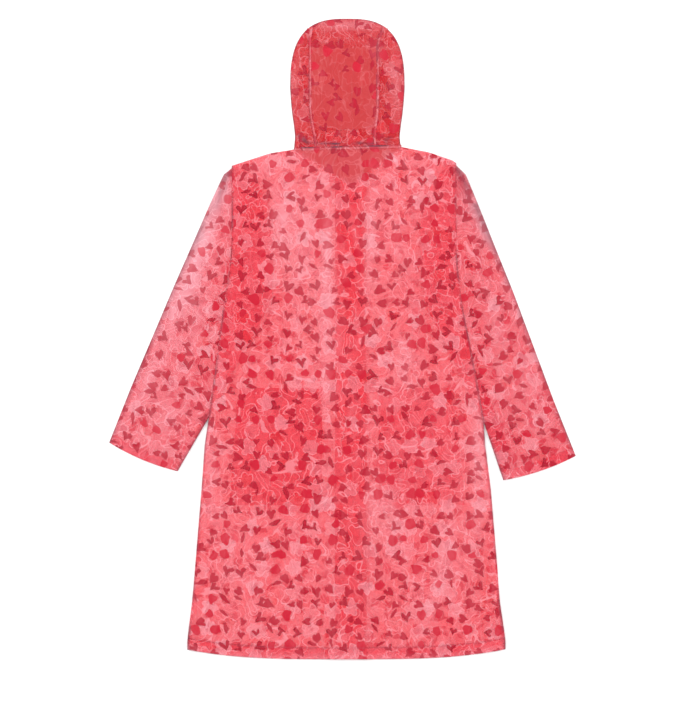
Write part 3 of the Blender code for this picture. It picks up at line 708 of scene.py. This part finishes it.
x, y = bodyGrid(edgeColumns(0.56, body["pitch"]), bodyRows, leftSide, rightSide, backTop)
sideGap, hemGap = fromSides(x, y), y - hemLine(x)
rise = creases(x, y, back["creases"]) * smooth(least(sideGap, hemGap, backTop(x) - y) / 0.03)
# painted sheen from the patches, and a paler band along the hem
paintedSheen = patches(x, y, back["paintedSheen"]) + 0.30 * smooth((0.016 - hemGap) / 0.012)
# darker along the folded sides and hem: the film doubled there, and painted shade
edge = 0.9 * smooth((0.0045 - sideGap) / 0.003) + 0.7 * smooth((0.003 - hemGap) / 0.003)
edge += 0.5 * smooth(1.2 - np.abs(hemGap - hemTop) / 0.0022)  # the line sewn along the hem
# painted shade where only the back's one layer shows, inside the neck's V
loneShade = smooth((y - neckV(x) + 0.006) / 0.010)
backPiece = panel("back_shell", x, y, backFloor(x, y) + rise, bodyFilm, paintedSheen, edge, loneShade)
print("back")

# Hems, as turned bands inside the coat, a little short of its sides.


def hemBand(name, u, leftOf, rightOf, top, floorOf, lift, material):
    rows = body["hemLow"] + np.array([0.0012, 0.004, 0.010, 0.016, 0.022, hemTop])
    x, y = bodyGrid(u, rows, lambda r: leftOf(r) + 0.001, lambda r: rightOf(r) - 0.001, top)
    edge = 0.35 * smooth((y - hemLine(x) - 0.0235) / 0.002)
    return panel(name, x, y, floorOf(x, y) + lift, material, edge=edge, shift=(0.021, 0.055))


def backUnder(x, y):
    gap = np.minimum(fromSides(x, y), y - hemLine(x))
    return backFloor(x, y) + creases(x, y, back["creases"]) * smooth(gap / 0.03)


backHem = hemBand(
    "back_hem", edgeColumns(0.70, 0.0085), leftSide, rightSide, backTop, backUnder, -body["band"], bodyFilm
)

# Fronts, lap and placket.

front = {
    # painted sheen, in soft patches
    "paintedSheen": (
        (-190, 150, 50, 140, 0, 0.20), (180, 100, 50, 120, 0, 0.18), (-140, -500, 80, 70, 0, 0.12),
        (190, -520, 70, 100, 0, 0.14),
    ),
    "printShift": (0.043, 0.031),
}


def frontFloorLeft(x, y):
    return np.maximum(pocketLift(x, y), lapLift(x))


def lapEdge(r):
    return r * 0 + body["placketRight"] - body["lapSetback"]


def frontSeam(r):
    return r * 0 + body["placketRight"] + body["seam"] / 2


def frontPanel(name, leftOf, rightOf, floorOf, width):
    x, y = bodyGrid(edgeColumns(width, 0.0095), bodyRows, leftOf, rightOf, frontTop)
    gap = np.minimum(x - leftOf(y), rightOf(y) - x)
    # darker along its sides, hem and neckline, partly as painted shade
    edge = 0.45 * smooth((0.004 - gap) / 0.003) + 0.25 * smooth((0.003 - (y - hemLine(x))) / 0.003)
    edge += 0.35 * smooth((0.004 - (neckV(x) - y)) / 0.003)
    paintedSheen = patches(x, y, front["paintedSheen"])
    return panel(name, x, y, floorOf(x, y), frontFilm, paintedSheen, edge, mirror=True, shift=front["printShift"])


frontLeft = frontPanel("front_left_shell", leftSide, lapEdge, frontFloorLeft, 0.36)
frontRight = frontPanel("front_right_shell", frontSeam, rightSide, pocketLift, 0.28)
leftHem = hemBand(
    "front_left_hem", edgeColumns(0.38, 0.010), leftSide, lapEdge, frontTop, frontFloorLeft, body["band"], frontFilm
)
rightHem = hemBand(
    "front_right_hem", edgeColumns(0.30, 0.010), frontSeam, rightSide, frontTop, pocketLift, body["band"], frontFilm
)


def foldedStrip(name, rows, openEdge, foldEdge, low, high, shift=0.0, fold=0.0):
    # a strip folded on itself: the fold is at one side, and both layers end at the other
    toward, inset, columns = math.copysign(1.0, foldEdge - openEdge), (high - low) / 2, 8
    turn = np.radians([60.0, 25.0, -25.0, -60.0])
    spread = np.linspace(openEdge, foldEdge - toward * inset, columns)
    bend = np.concatenate([np.ones(columns), np.sin(turn), -np.ones(columns)])

    def section(depth):  # across the strip, one side of the film
        bow = foldEdge - toward * (inset - (inset - depth) * np.cos(turn))
        return np.concatenate([spread, bow, spread[::-1]]), (low + high) / 2 + (inset - depth) * bend

    (outerX, outerZ), (innerX, innerZ) = section(0.0), section(body["film"])
    row, x = np.meshgrid(rows, outerX, indexing="ij")
    y = rowY(row, x, frontTop)
    uv = grid(runAlong(outerX, outerZ) + shift, y)
    # darker along the fold: the film doubled there, and painted shade
    marks = grid(0.0, fold * smooth((0.003 - np.abs(x - foldEdge)) / 0.002), 0.0)
    return shellMesh(name, grid(x, y, outerZ), grid(innerX, y, innerZ), pocketFilm, uv, marks)


placket = foldedStrip(
    "placket_shell", bodyRows, body["placketRight"] - body["seam"] / 2, body["placketLeft"], 0.0, body["wall"], fold=0.5
)
lapFloor = body["lapLift"] + body["film"] + 0.0002
lapFacing = foldedStrip(
    "lap_facing", bodyRows[3:], body["placketLeft"] + 0.004, lapEdge(0.0) - 0.001, lapFloor, lapFloor + 0.0012, 0.07
)

# Pockets.


def pocketPiece(name, hand, low, high, z):
    rows = joined(steps(low, high, 0.011), low + 0.003, high - 0.003)
    first = pocket["first"][hand]
    leftOf, rightOf = (lambda r, k=k: pocketEdges(r)[k] for k in (first, first + 1))
    x, y = bodyGrid(edgeColumns(0.21, 0.011), rows, leftOf, rightOf, frontTop)
    # darker along its edges, partly as painted shade, with less painted sheen over it
    edge = 0.5 * smooth((0.004 - least(x - leftOf(y), rightOf(y) - x, y - low, high - y)) / 0.003)
    return panel(name, x, y, z, pocketFilm, -0.25, edge, mirror=True, shift=(0.087, 0.011))


pocketPieces = {}
for hand in ("left", "right"):
    top = pocket["top"]
    pocketPieces[hand] = (
        pocketPiece(f"pocket_{hand}_shell", hand, pocket["bottom"], top, 0.0),
        pocketPiece(f"pocket_{hand}_hem", hand, top - pocket["band"], top - 0.0006, body["film"] + 0.0002),
    )
print("fronts, lap, placket and pockets")

# Sleeve shells.

sleeveLook = {
    "creases": {
        "left": (
            ((-300, 240), (-350, 140), (-392, 20), 4.2, 12), ((-372, 70), (-392, -30), (-398, -120), 3.4, 11),
            ((-452, -85), (-458, -150), (-470, -225), 3.4, 10), ((-330, 100), (-318, 20), (-330, -60), 2.8, 10),
            ((-420, -20), (-448, -70), (-440, -150), 2.6, 9), ((-296, 60), (-340, 30), (-396, 46), 2.2, 8),
            ((-330, -100), (-370, -130), (-430, -110), 2.4, 9), ((-350, -180), (-390, -190), (-450, -160), 2.0, 8),
            ((-280, 300), (-306, 240), (-330, 160), 2.6, 10), ((-400, -200), (-410, -235), (-420, -262), 2.0, 8),
        ),
        "right": (
            ((306, 200), (328, 60), (350, -130), 4.8, 10), ((372, 85), (402, -10), (438, -110), 3.4, 12),
            ((398, -150), (424, -200), (446, -262), 3.4, 10), ((340, 130), (366, 90), (380, 20), 2.6, 9),
            ((330, -10), (370, -40), (420, -24), 2.4, 9), ((340, -180), (380, -170), (440, -190), 2.2, 8),
            ((440, -50), (470, -130), (486, -200), 2.6, 10), ((284, 290), (300, 250), (322, 180), 2.6, 10),
            ((366, -230), (374, -260), (380, -290), 2.0, 8),
        ),
    },
    # painted sheen and painted highlights, and less of them where negative
    "paintedSheen": {
        "left": (
            (-318, 230, 26, 100, -22, 0.95), (-360, 90, 30, 80, -22, 0.60), (-440, -90, 26, 80, -22, 0.45),
            (-330, 10, 24, 70, -10, 0.35), (-395, -170, 30, 40, 0, 0.35), (-290, 20, 20, 100, -12, -0.45),
            (-280, 320, 30, 30, 0, 0.55),
        ),
        "right": (
            (318, 250, 14, 70, 22, 0.85), (392, 60, 14, 120, 22, 0.35), (350, 20, 18, 80, 12, 0.30),
            (410, -80, 26, 60, 20, 0.25), (440, -250, 80, 22, -20, -0.60), (300, -50, 24, 160, 12, -0.80),
            (276, 80, 18, 120, 8, -0.80), (380, 0, 40, 140, 20, -0.20),
        ),
    },
    "tuck": {"left": (0.925, 0.985, 0.16, 0.44), "right": (0.800, 0.985, 0.0, 0.60)},  # across, then along
}


def sleeveHeights(hand, distance, across):
    x, y = sleevePoint(sleeves[hand], distance, across)
    low = sleeveFloor(x, y)
    free = smooth((beyondBody(x, y) - sleeves["freeStart"]) / sleeves["liftMargin"])
    rounded = 4 * across * (1 - across)
    rise = sleeves["loft"] * rounded + creases(x, y, sleeveLook["creases"][hand]) * smooth(3 * rounded)
    return x, y, low, low + 2 * body["wall"] + body["foldGap"] + free * rise


def sleeveTube(name, hand, distances, inward, edgeMark):
    # a flattened tube of film; inward keeps a cuff band clear inside the outer film
    table = sleeves[hand]
    turn = np.radians([12.0, 35.0, 62.0, 90.0])
    width = np.hypot(table["outerX"][1] - table["innerX"][1], table["outerY"][1] - table["innerY"][1])
    inset = body["foldInset"] / width
    near = inset * (1 - np.cos(turn))
    flat = np.linspace(inset, 1 - inset, sleeves["across"])[1:-1]
    half = np.concatenate([[0.0], near, flat, 1 - near[::-1], [1.0]])
    bow = np.concatenate([[0.0], np.sin(turn), np.ones(len(flat)), np.sin(turn)[::-1], [0.0]])
    distance, share = np.meshgrid(distances, np.append(half, half[-2:0:-1]), indexing="ij")
    bend = np.append(bow, -bow[-2:0:-1]) + 0 * share

    def surface(offset):
        x, y, low, high = sleeveHeights(hand, distance, offset / width + share * (1 - 2 * offset / width))
        middle = (low + low + 2 * body["wall"] + body["foldGap"]) / 2
        return grid(x, y, middle + np.where(bend >= 0, high - middle - offset, middle - low - offset) * bend)

    outer, inner = surface(inward), surface(inward + body["film"])
    x, y = outer[..., 0], outer[..., 1]
    u, v = turned(x, y, table["turn"])
    below = bend < 0
    uv = grid(np.where(below, 0.137 - u, u), np.where(below, v + 0.047, v))
    fromEdge = np.minimum(share, 1 - share) * width
    # darker along the folded edges, partly as painted shade
    edge = edgeMark * smooth((0.0040 - fromEdge) / 0.0025) * (beyondBody(x, y) > -0.004)
    edge += 0.3 * smooth((0.003 - distance) / 0.003)
    paintedSheen = patches(x, y, sleeveLook["paintedSheen"][hand]) * np.where(below, 0.5, 1.0)
    return shellMesh(name, outer, inner, sleeveFilm, uv, grid(paintedSheen, edge, 0.0), ring=True)


sleevePieces = {}
for hand in ("left", "right"):
    reach, cuff = sleeves[hand]["distance"][-1], sleeves["cuffDepth"]
    stations = joined(steps(0.0, reach, sleeves["pitch"]), 0.0015, 0.003, cuff - 0.002, cuff, cuff + 0.003, reach)
    tube = sleeveTube(f"sleeve_{hand}_shell", hand, stations, 0.0, 0.85)
    cuffBand = sleeveTube(f"cuff_{hand}_band", hand, steps(0.0012, cuff, 0.004), body["band"], 0.3)
    first, last, start, end = sleeveLook["tuck"][hand]
    run = steps(start * reach + cuff, end * reach, 0.010)
    distance, across = np.meshgrid(run, np.linspace(first, last, 7), indexing="ij")
    narrow = smooth((end * reach - distance) / 0.12) * smooth((distance - start * reach) / 0.08 + 0.35)
    x, y, low, _ = sleeveHeights(hand, distance, last - (last - across) * mix(0.35, 1.0, narrow))
    # the tucks lose the painted sheen and get a faint dark line
    tucks = [
        panel(
            f"sleeve_{hand}_tuck{i + 1}", x, y, low + body["film"] + 0.0002 + i * 0.0007, sleeveFilm, -0.7, 0.1,
            turn=sleeves[hand]["turn"], mirror=i == 0, shift=(0.031 * i, 0.017 + 0.05 * i),
        )
        for i in range(2)
    ]
    sleevePieces[hand] = (tube, cuffBand, *tucks)
print("sleeves")

# Hood.

hoodLook = {
    "creases": (
        ((-104, 460), (10, 456), (120, 461), 2.6, 6), ((-98, 445), (-20, 447), (50, 444), 2.2, 5),
        ((20, 470), (70, 472), (116, 468), 2.0, 5), ((-30, 660), (-40, 580), (-50, 505), 3.0, 12),
        ((50, 650), (52, 570), (46, 495), 2.4, 11), ((10, 620), (14, 540), (8, 490), 1.8, 9),
        ((-96, 600), (-100, 550), (-94, 490), 2.0, 8), ((110, 610), (116, 550), (108, 490), 2.2, 8),
    ),
    # painted sheen, and less of it where negative
    "paintedSheen": (
        (12, 705, 70, 12, 0, 0.40), (75, 640, 20, 30, 0, 0.30), (122, 580, 14, 60, 0, 0.30),
        (-108, 560, 10, 70, 0, 0.10), (-56, 640, 16, 20, 0, -0.40), (40, 600, 50, 40, 0, -0.30),
        (80, 470, 34, 30, 0, -0.60), (-80, 450, 30, 16, 0, -0.40),
    ),
    # painted shade in the gathers above the nape
    "gatherShade": (  # dark strokes where the film is drawn in above the nape
        (-46, 439, 18, 3.0, 0, 1.20), (-13, 438, 14, 3.0, -3, 1.80), (36, 440, 14, 3.0, 3, 1.10),
        (78, 439, 24, 3.0, 2, 1.80), (-90, 452, 12, 3.6, -28, 1.20), (-84, 443, 13, 3.4, -22, 1.20),
        (100, 449, 14, 3.4, 20, 1.10),
    ),
}


def rowsUp(name, y=None):
    return np.interp(hoodY if y is None else y, hood["rows"]["y"][::-1], hood["rows"][name][::-1])


def hoodHalf(y):
    rise = np.clip((y - hood["widestY"]) / hood["crown"], 0, 1)
    dome = hood["half"] * (1 - rise ** hood["roundness"]) ** (1 / hood["roundness"])
    return np.where(y <= hood["widestY"], interp(hood["sides"], "half", y), dome)


def crownY(x):
    share = np.clip(np.abs(x - hood["middle"]) / hood["half"], 0, 1)
    return hood["widestY"] + hood["crown"] * (1 - share ** hood["roundness"]) ** (1 / hood["roundness"])


def hoodTop(x, y):
    # the upper side of the hood's upper layer
    across = (x - hood["middle"]) / np.maximum(hoodHalf(y), 1e-4)
    rise = np.maximum(y - hood["widestY"], 0.0) / hood["crown"]
    fromNape = smooth((y - nape(x)) / (hood["widestY"] - nape(x)))
    low = np.clip(1 - across**2, 0, 1)
    dome = low * np.clip(1 - rise**2, 0, 1) * fromNape
    rise = creases(x, y, hoodLook["creases"]) * smooth(4 * low)
    return 2 * body["wall"] + body["foldGap"] + hood["loft"] * dome + rise


hoodY = joined(steps(hood["bottom"], hood["top"], 0.0055), hood["level"], 0.4330, hood["top"])
hoodArc = np.radians([68.0, 40.0, 0.0, -40.0, -68.0])


def loneHoodShade(x, y):
    # 1 where only one layer of the hood shows, over the face opening: there the film is painted darker, as painted
    # shade
    left, right = (np.interp(y, hoodY, rowsUp(name)) for name in ("rimLeft", "rimRight"))
    return smooth((least(x - left, right - x, hood["faceTop"] - y, y - hood["faceLow"]) + 0.007) / 0.011)


def nearNape(y):  # from 0 where the hood's rows run level to 1 at its lowest row
    return np.clip((hood["level"] - y) / (hood["level"] - hood["bottom"]), 0, 1)


def hoodLine(x, y, outerZ, innerZ, innerX=None, innerY=None, under=0.0, edge=0.0):
    # one line of the hood's film: its outer points, its inner points, how far underneath it lies, its edge mark
    return grid(x, y, outerZ, x if innerX is None else innerX, y if innerY is None else innerY, innerZ, under, edge)


def hoodShell(name, lines, axis, place, marks):
    lines = np.stack(lines, axis)
    x, y, under, edge = (lines[..., k] for k in (0, 1, 6, 7))
    uv = grid(*place(x, y, under))
    return shellMesh(name, lines[..., :3], lines[..., 3:6], hoodFilm, uv, marks(x, y, under, edge))


def hoodSide(hand):
    sign = -1 if hand == "left" else 1
    crown = np.array([0.0] * len(hoodY) + [0.34, 0.67, 1.0])  # the last rows rise to the outline at the crown
    rows = np.append(hoodY, hoodY[[-1, -1, -1]])
    seamX, rimX = (rowsUp(name + hand.capitalize(), rows) + sign * body["seam"] / 2 for name in ("seam", "rim"))
    rimY = rowsUp("rimY", rows)
    insetX = hood["middle"] + sign * hoodHalf(rows) - sign * body["foldInset"]
    low = nearNape(rows)
    film, lines = body["film"], []

    def raised(x, y):
        return mix(y, np.maximum(crownY(x), y + 0.0004 * crown), crown)

    for t in joined(np.linspace(0, 1, 9), 0.05, 0.95):
        x = mix(seamX, insetX, t)
        y = raised(x, mix(rows, nape(x), low))
        top = hoodTop(x, y)
        # the seam's dark line, painted shade where the crown folds, and painted shade in the gathers
        seamEdge = 0.25 * float(t < 0.04) + 0.5 * smooth(crown - 0.5)
        lines.append(hoodLine(x, y, top, top - film, edge=seamEdge + patches(x, y, hoodLook["gatherShade"])))
    endY = raised(insetX, mix(rows, nape(insetX), low))
    top = hoodTop(insetX, endY)
    startY = raised(insetX, mix(rows, neckV(insetX), low))
    # darker round the fold at the outline, partly as painted shade
    for angle in hoodArc:
        reach, rise = math.cos(angle), math.sin(angle)
        share = 0.5 - 0.5 * rise
        lines.append(hoodLine(
            insetX + sign * body["foldInset"] * reach, mix(endY, startY, share), top / 2 * (1 + rise),
            top / 2 + (top / 2 - film) * rise, insetX + sign * (body["foldInset"] - film) * reach,
            under=share, edge=0.75,
        ))
    for t in joined(np.linspace(0, 1, 11), 0.03, 0.97):
        x = mix(insetX, rimX, t)
        y = raised(x, mix(mix(rows, rimY, t), neckV(x), low))
        lines.append(hoodLine(x, y, 0.0, film, under=1.0, edge=0.3 * float(t > 0.96)))

    def place(x, y, under):
        u, v = x + sign * 0.10 * y, y - sign * 0.10 * x
        return np.where(under > 0.5, 0.061 - u, u + 0.02 * sign), np.where(under > 0.5, v + 0.037, v)

    def marks(x, y, under, edge):
        return grid(patches(x, y, hoodLook["paintedSheen"]) * (1 - 0.5 * under), edge, 0.0)

    return hoodShell(f"hood_{hand}_shell", lines, 1, place, marks)


def hoodMiddle():
    film, inset, lines = body["film"], body["foldInset"], []
    t = joined(np.linspace(0, 1, 21), 0.012, 0.988)

    def across(leftY, rightY=None):
        left = np.interp(leftY, hoodY, rowsUp("seamLeft")) + body["seam"] / 2
        right = np.interp(leftY if rightY is None else rightY, hoodY, rowsUp("seamRight")) - body["seam"] / 2
        return mix(left, right, t)

    heights = hoodY[hoodY <= hood["crownStart"]]
    for height in heights:
        x = across(height)
        y = mix(height, nape(x), nearNape(height))
        top = hoodTop(x, y)
        # a dark line at the nape, and painted shade in the gathers
        napeEdge = 0.3 * np.exp(-(((height - hood["bottom"]) / 0.004) ** 2))
        lines.append(hoodLine(x, y, top, top - film, edge=napeEdge + patches(x, y, hoodLook["gatherShade"])))
    height = float(heights[-1])
    ends = crownY(across(hood["top"])[[0, -1]]) - inset
    for share in np.linspace(0, 1, 7)[1:]:
        x = across(*np.minimum(mix(height, ends, share), hood["top"]))
        y = mix(height, crownY(x) - inset, share)
        top = hoodTop(x, y)
        lines.append(hoodLine(x, y, top, top - film))
    x = across(hood["top"])
    y = crownY(x) - inset
    top = hoodTop(x, y)
    # darker round the fold at the crown, partly as painted shade
    for angle in hoodArc:
        reach, rise = math.cos(angle), math.sin(angle)
        lines.append(hoodLine(
            x, y + inset * reach, top / 2 * (1 + rise), top / 2 + (top / 2 - film) * rise,
            innerY=y + (inset - film) * reach, under=0.5 - 0.5 * rise, edge=0.75,
        ))
    for share in joined(np.linspace(0, 1, 9), 0.95):
        x = across(mix(hood["top"], hood["faceTop"], share))
        y = mix(crownY(x) - inset, hood["faceTop"], share)
        lines.append(hoodLine(x, y, 0.0, film, under=1.0, edge=0.3 * float(share > 0.94)))

    def place(x, y, under):
        return np.where(under > 0.5, 0.09 - x, x + 0.012), np.where(under > 0.5, 1.41 - y, y + 0.02)

    def marks(x, y, under, edge):
        return grid(patches(x, y, hoodLook["paintedSheen"]), edge, loneHoodShade(x, y) * (under < 0.5))

    return hoodShell("hood_middle_shell", lines, 0, place, marks)


hoodLeft, hoodRight, hoodMid = hoodSide("left"), hoodSide("right"), hoodMiddle()
print("hood")

# Welded seams: a low bead of film over each joint on the upper side.
seamLook = {
    "width": 0.0062, "napeWidth": 0.0075, "rise": 0.0006, "film": 0.0002, "clear": 0.0001,
    "columns": np.array([-1.0, -0.55, -0.1, 0.5, 1.0]),
    # across each bead: a painted shadow along one side, a painted highlight over its crest and far side, and a faint
    # dark line at its far edge
    "dark": np.array([0.4, 0.75, 0.25, 0.0, 0.3]), "pale": (0.0, 0.0, 0.25, 0.4, 0.1),
    # darker stretches of the nape seam's painted shadow, as patches along it
    "strokes": ((-78, 0, 14, 1, 0, 2.0), (-5, 0, 18, 1, 0, 2.0), (78, 0, 24, 1, 0, 2.0)),
}


def seamBead(name, x, y, surface, width=seamLook["width"], darker=1.0):
    alongX, alongY = np.gradient(x), np.gradient(y)
    length, share = np.hypot(alongX, alongY), seamLook["columns"]
    x = x[:, None] + (alongY / length)[:, None] * share * width / 2
    y = y[:, None] - (alongX / length)[:, None] * share * width / 2
    base = surface(x, y) + seamLook["clear"]
    upper = grid(x, y, base + seamLook["film"] + seamLook["rise"] * (1 - share**2))
    marks = grid(0 * base + seamLook["pale"], seamLook["dark"] * darker, 0.0)
    return shellMesh(name, upper, grid(x, y, base), hoodFilm, grid(x, y), marks)


def backSurface(x, y):
    return backUnder(x, y) + body["film"]


def napeSurface(x, y):
    return np.where(y > nape(x), hoodTop(x, y), backSurface(x, np.minimum(y, backTop(x))))


beadPieces = []
for hand in ("Left", "Right"):
    y = steps(0.4345, hood["top"], 0.005)
    x = rowsUp("seam" + hand, y)
    y = np.append(y, crownY(x[-1]) - 0.0012)
    beadPieces.append(seamBead(f"hood_{hand.lower()}_seam", np.append(x, x[-1]), y, hoodTop))
napeStart, napeEnd = body["shoulders"]["x"][2:4]
x = steps(napeStart - 0.006, napeEnd + 0.006, 0.005)
strokes = (0.7 + patches(x, 0 * x, seamLook["strokes"]))[:, None]
beadPieces.append(seamBead("nape_seam", x, nape(x) - body["seam"] / 2, napeSurface, seamLook["napeWidth"], strokes))
print("seams")

stitching = {"pitch": 0.0042, "length": 0.0031, "radius": 0.00032, "margin": 0.004, "hem": 0.0243, "cuff": 0.0193}



def makeStitchTree():
    inputs = {"Geometry": "Geometry", "Pitch": "Float", "Length": "Float", "Radius": "Float", "Thread": "Material"}
    tree, n, given, out = newTree("stitches", "GeometryNodeTree", inputs, {"Geometry": "Geometry"})
    tree.is_modifier = True
    curve = n.new("GeometryNodeMeshToCurve", {"Mesh": given["Geometry"]}).outputs["Curve"]
    even = n.new("GeometryNodeResampleCurve", {"Curve": curve, "Length": given["Pitch"]}, mode="LENGTH")
    points = n.new("GeometryNodeCurveToPoints", {"Curve": even.outputs["Curve"]}, mode="EVALUATED").outputs
    align = n.new("FunctionNodeAlignRotationToVector", {"Vector": points["Tangent"]}, axis="Z")
    grain = n.new("GeometryNodeMeshUVSphere", {"Segments": 6, "Rings": 4, "Radius": 1.0})
    sewn = n.new("GeometryNodeInstanceOnPoints", {
        "Points": points["Points"], "Instance": grain.outputs["Mesh"], "Rotation": align.outputs["Rotation"],
        "Scale": n.join(given["Radius"], given["Radius"], n.times(given["Length"], 0.5)),
    })
    real = n.new("GeometryNodeRealizeInstances", {"Geometry": sewn.outputs["Instances"]})
    softened = n.new("GeometryNodeSetShadeSmooth", {"Geometry": real.outputs["Geometry"]})
    thread = {"Geometry": softened.outputs["Geometry"], "Material": given["Thread"]}
    n.put(n.new("GeometryNodeSetMaterial", thread).outputs["Geometry"], out["Geometry"])
    return tree


def grainyMaterial(name, light, dark, scale, roughness, bumpHeight):
    # thread or moulded resin: two tones over a fine grain
    material, n, shader = newMaterial(name)
    grain = n.noise(n.new("ShaderNodeTexCoord").outputs["Object"], scale, dims="3D")
    n.put(n.blend(grain, dark, light), shader["Base Color"])
    n.put(n.timesPlus(grain, 0.25, roughness), shader["Roughness"])
    n.put(n.bump(grain, bumpHeight), shader["Normal"])
    return material


stitchTree = makeStitchTree()
thread = grainyMaterial("coralThread", (0.62, 0.045, 0.080, 1.0), (0.34, 0.010, 0.025, 1.0), 900.0, 0.45, 0.00015)
studResin = grainyMaterial("studResin", (0.74, 0.060, 0.095, 1.0), (0.55, 0.022, 0.040, 1.0), 260.0, 0.18, 0.00010)


def stitches(name, lines):
    # each line is x, y and z along it
    points, edges = [], []
    for line in lines:
        first = len(points)
        points += grid(*line).tolist()
        edges += [(i, i + 1) for i in range(first, len(points) - 1)]
    mesh = bpy.data.meshes.new(name)
    mesh.from_pydata(points, edges, [])
    piece = addObject(name, mesh)
    modifier = piece.modifiers.new("stitches", "NODES")
    modifier.node_group = stitchTree
    values = {**{key.capitalize(): stitching[key] for key in ("pitch", "length", "radius")}, "Thread": thread}
    for socket in stitchTree.interface.items_tree:
        if socket.in_out == "INPUT" and socket.name in values:
            modifier[socket.identifier] = values[socket.name]
    evaluated = piece.evaluated_get(bpy.context.evaluated_depsgraph_get())
    piece.data = bpy.data.meshes.new_from_object(evaluated)
    piece.modifiers.remove(modifier)
    return piece


def onSurface(surface, x, y):
    x, y = np.broadcast_arrays(x, y)
    return x, y, surface(x, y)


margin, filmMiddle = stitching["margin"], body["film"] / 2
hemStart, hemEnd = leftSide(-0.695) + 0.002, rightSide(-0.695) - 0.002
x, y = steps(hemStart, hemEnd, 0.006), steps(-0.692, 0.382, 0.006)
napeX = steps(napeStart, napeEnd, 0.005)
stitchLines = {
    "back": [
        onSurface(backSurface, x, hemLine(x) + stitching["hem"]),
        onSurface(backSurface, leftSide(y) + margin, y),
        onSurface(backSurface, rightSide(y) - margin, y),
        onSurface(backSurface, napeX, nape(napeX) - 0.0065),
    ],
}

y = steps(-0.690, 0.330, 0.008)
leftEnd, rightStart = lapEdge(0.0), frontSeam(0.0)
for hand, floorOf, start, end, laps in (
    ("left", frontFloorLeft, hemStart, leftEnd - 0.002, (body["placketLeft"] + 0.006, leftEnd - 0.006)),
    ("right", pocketLift, rightStart + 0.002, hemEnd, (rightStart + 0.005,)),
):
    def middle(px, py, low=floorOf):
        return low(px, py) + filmMiddle

    x = steps(start, end, 0.006)
    stitchLines["front_" + hand] = [onSurface(middle, x, hemLine(x) + stitching["hem"])]
    stitchLines["front_" + hand] += [onSurface(middle, lap, y) for lap in laps]

low, high = pocket["bottom"] + 0.003, pocket["top"] - 0.002
hemY = pocket["top"] - pocket["band"] + 0.002
for hand, first in pocket["first"].items():
    rows = steps(high, low, 0.006)
    a, b = pocketEdges(rows)[first:first + 2]
    base = np.linspace(a[-1] + 0.003, b[-1] - 0.003, 30)[1:-1]
    x = np.concatenate([a + 0.003, base, b[::-1] - 0.003])
    y = np.concatenate([rows, base * 0 + low, rows[::-1]])
    a, b = pocketEdges(hemY)[first:first + 2]
    stitchLines["pocket_" + hand] = [(x, y, filmMiddle), (steps(a + 0.003, b - 0.003, 0.006), hemY, filmMiddle)]

for hand in ("left", "right"):
    x, y, low, high = sleeveHeights(hand, stitching["cuff"], np.linspace(0.02, 0.98, 40))
    stitchLines["sleeve_" + hand] = [(x, y, high), (x, y, low + filmMiddle)]

y = steps(0.4400, 0.6900, 0.005)
stitchLines["hood"] = [
    onSurface(hoodTop, rowsUp("seam" + hand, y) + away, y) for hand in ("Left", "Right") for away in (-0.0048, 0.0048)
]
rimRows = steps(0.4800, 0.6540, 0.006)
leftRim, rightRim = rowsUp("rimLeft", rimRows) - margin, rowsUp("rimRight", rimRows) + margin
top = steps(leftRim[-1], rightRim[-1], 0.006)[1:-1]
rimX = np.concatenate([leftRim, top, rightRim[::-1]])
rimY = np.concatenate([rimRows, 0 * top + hood["faceTop"] + margin, rimRows[::-1]])
stitchLines["hood"].append((rimX, rimY, filmMiddle))

stitchPieces = {name: stitches(name + "_stitches", lines) for name, lines in stitchLines.items()}
for i in range(6):
    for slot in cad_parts[f"stud_{i + 1}"].material_slots:
        slot.material = studResin
print("stitches and studs")

# Each sheet of film: its piece, its solid, the width, length and area it was cut to, in metres, how it is held and
# what it rests on, its slot, and the small pieces sewn to it.
(pocketLeft, *leftSewn), (pocketRight, *rightSewn) = pocketPieces["left"], pocketPieces["right"]
(sleeveLeft, *leftBands), (sleeveRight, *rightBands) = sleevePieces["left"], sleevePieces["right"]
cuts = (
    (backPiece, "back", (0.716, 1.153), 0.67, "laid", "front_left_shell", "back_film", [backHem]),
    (frontLeft, "front_left", (0.40, 1.145), 0.38, "laid", "placket_shell", "front_film", [leftHem]),
    (frontRight, "front_right", (0.31, 1.15), 0.27, "laid", "pocket_right_shell", "front_film", [rightHem]),
    (placket, "placket", (0.147, 1.07), 0.155, "folded", "floor", "pocket_film", []),
    (lapFacing, None, (0.125, 1.06), 0.1325, "folded", "placket_shell", "front_film", []),
    (pocketLeft, "pocket_left", (0.200, 0.2635), 0.0527, "laid", "floor", "pocket_film", leftSewn),
    (pocketRight, "pocket_right", (0.184, 0.2635), 0.0485, "laid", "floor", "pocket_film", rightSewn),
    (sleeveLeft, "sleeve_left", (0.63, 0.61), 0.25, "laid", "floor", "sleeve_film", leftBands),
    (sleeveRight, "sleeve_right", (0.63, 0.61), 0.24, "laid", "floor", "sleeve_film", rightBands),
    (hoodLeft, "hood_left", (0.17, 0.35), 0.034, "laid", "floor", "hood_film", beadPieces[:1]),
    (hoodRight, "hood_right", (0.17, 0.35), 0.038, "laid", "floor", "hood_film", beadPieces[1:2]),
    (hoodMid, "hood_middle", (0.154, 0.36), 0.053, "laid", "floor", "hood_film", beadPieces[2:]),
)
for piece, node, flat, area, held, under, slot, others in cuts:
    sewn = stitchPieces.get("hood" if node == "hood_middle" else node)
    others = [*others, sewn] if sewn else others
    for part in (piece, *others):
        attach(part, "root")
    if node:
        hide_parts(node)
    list(others)
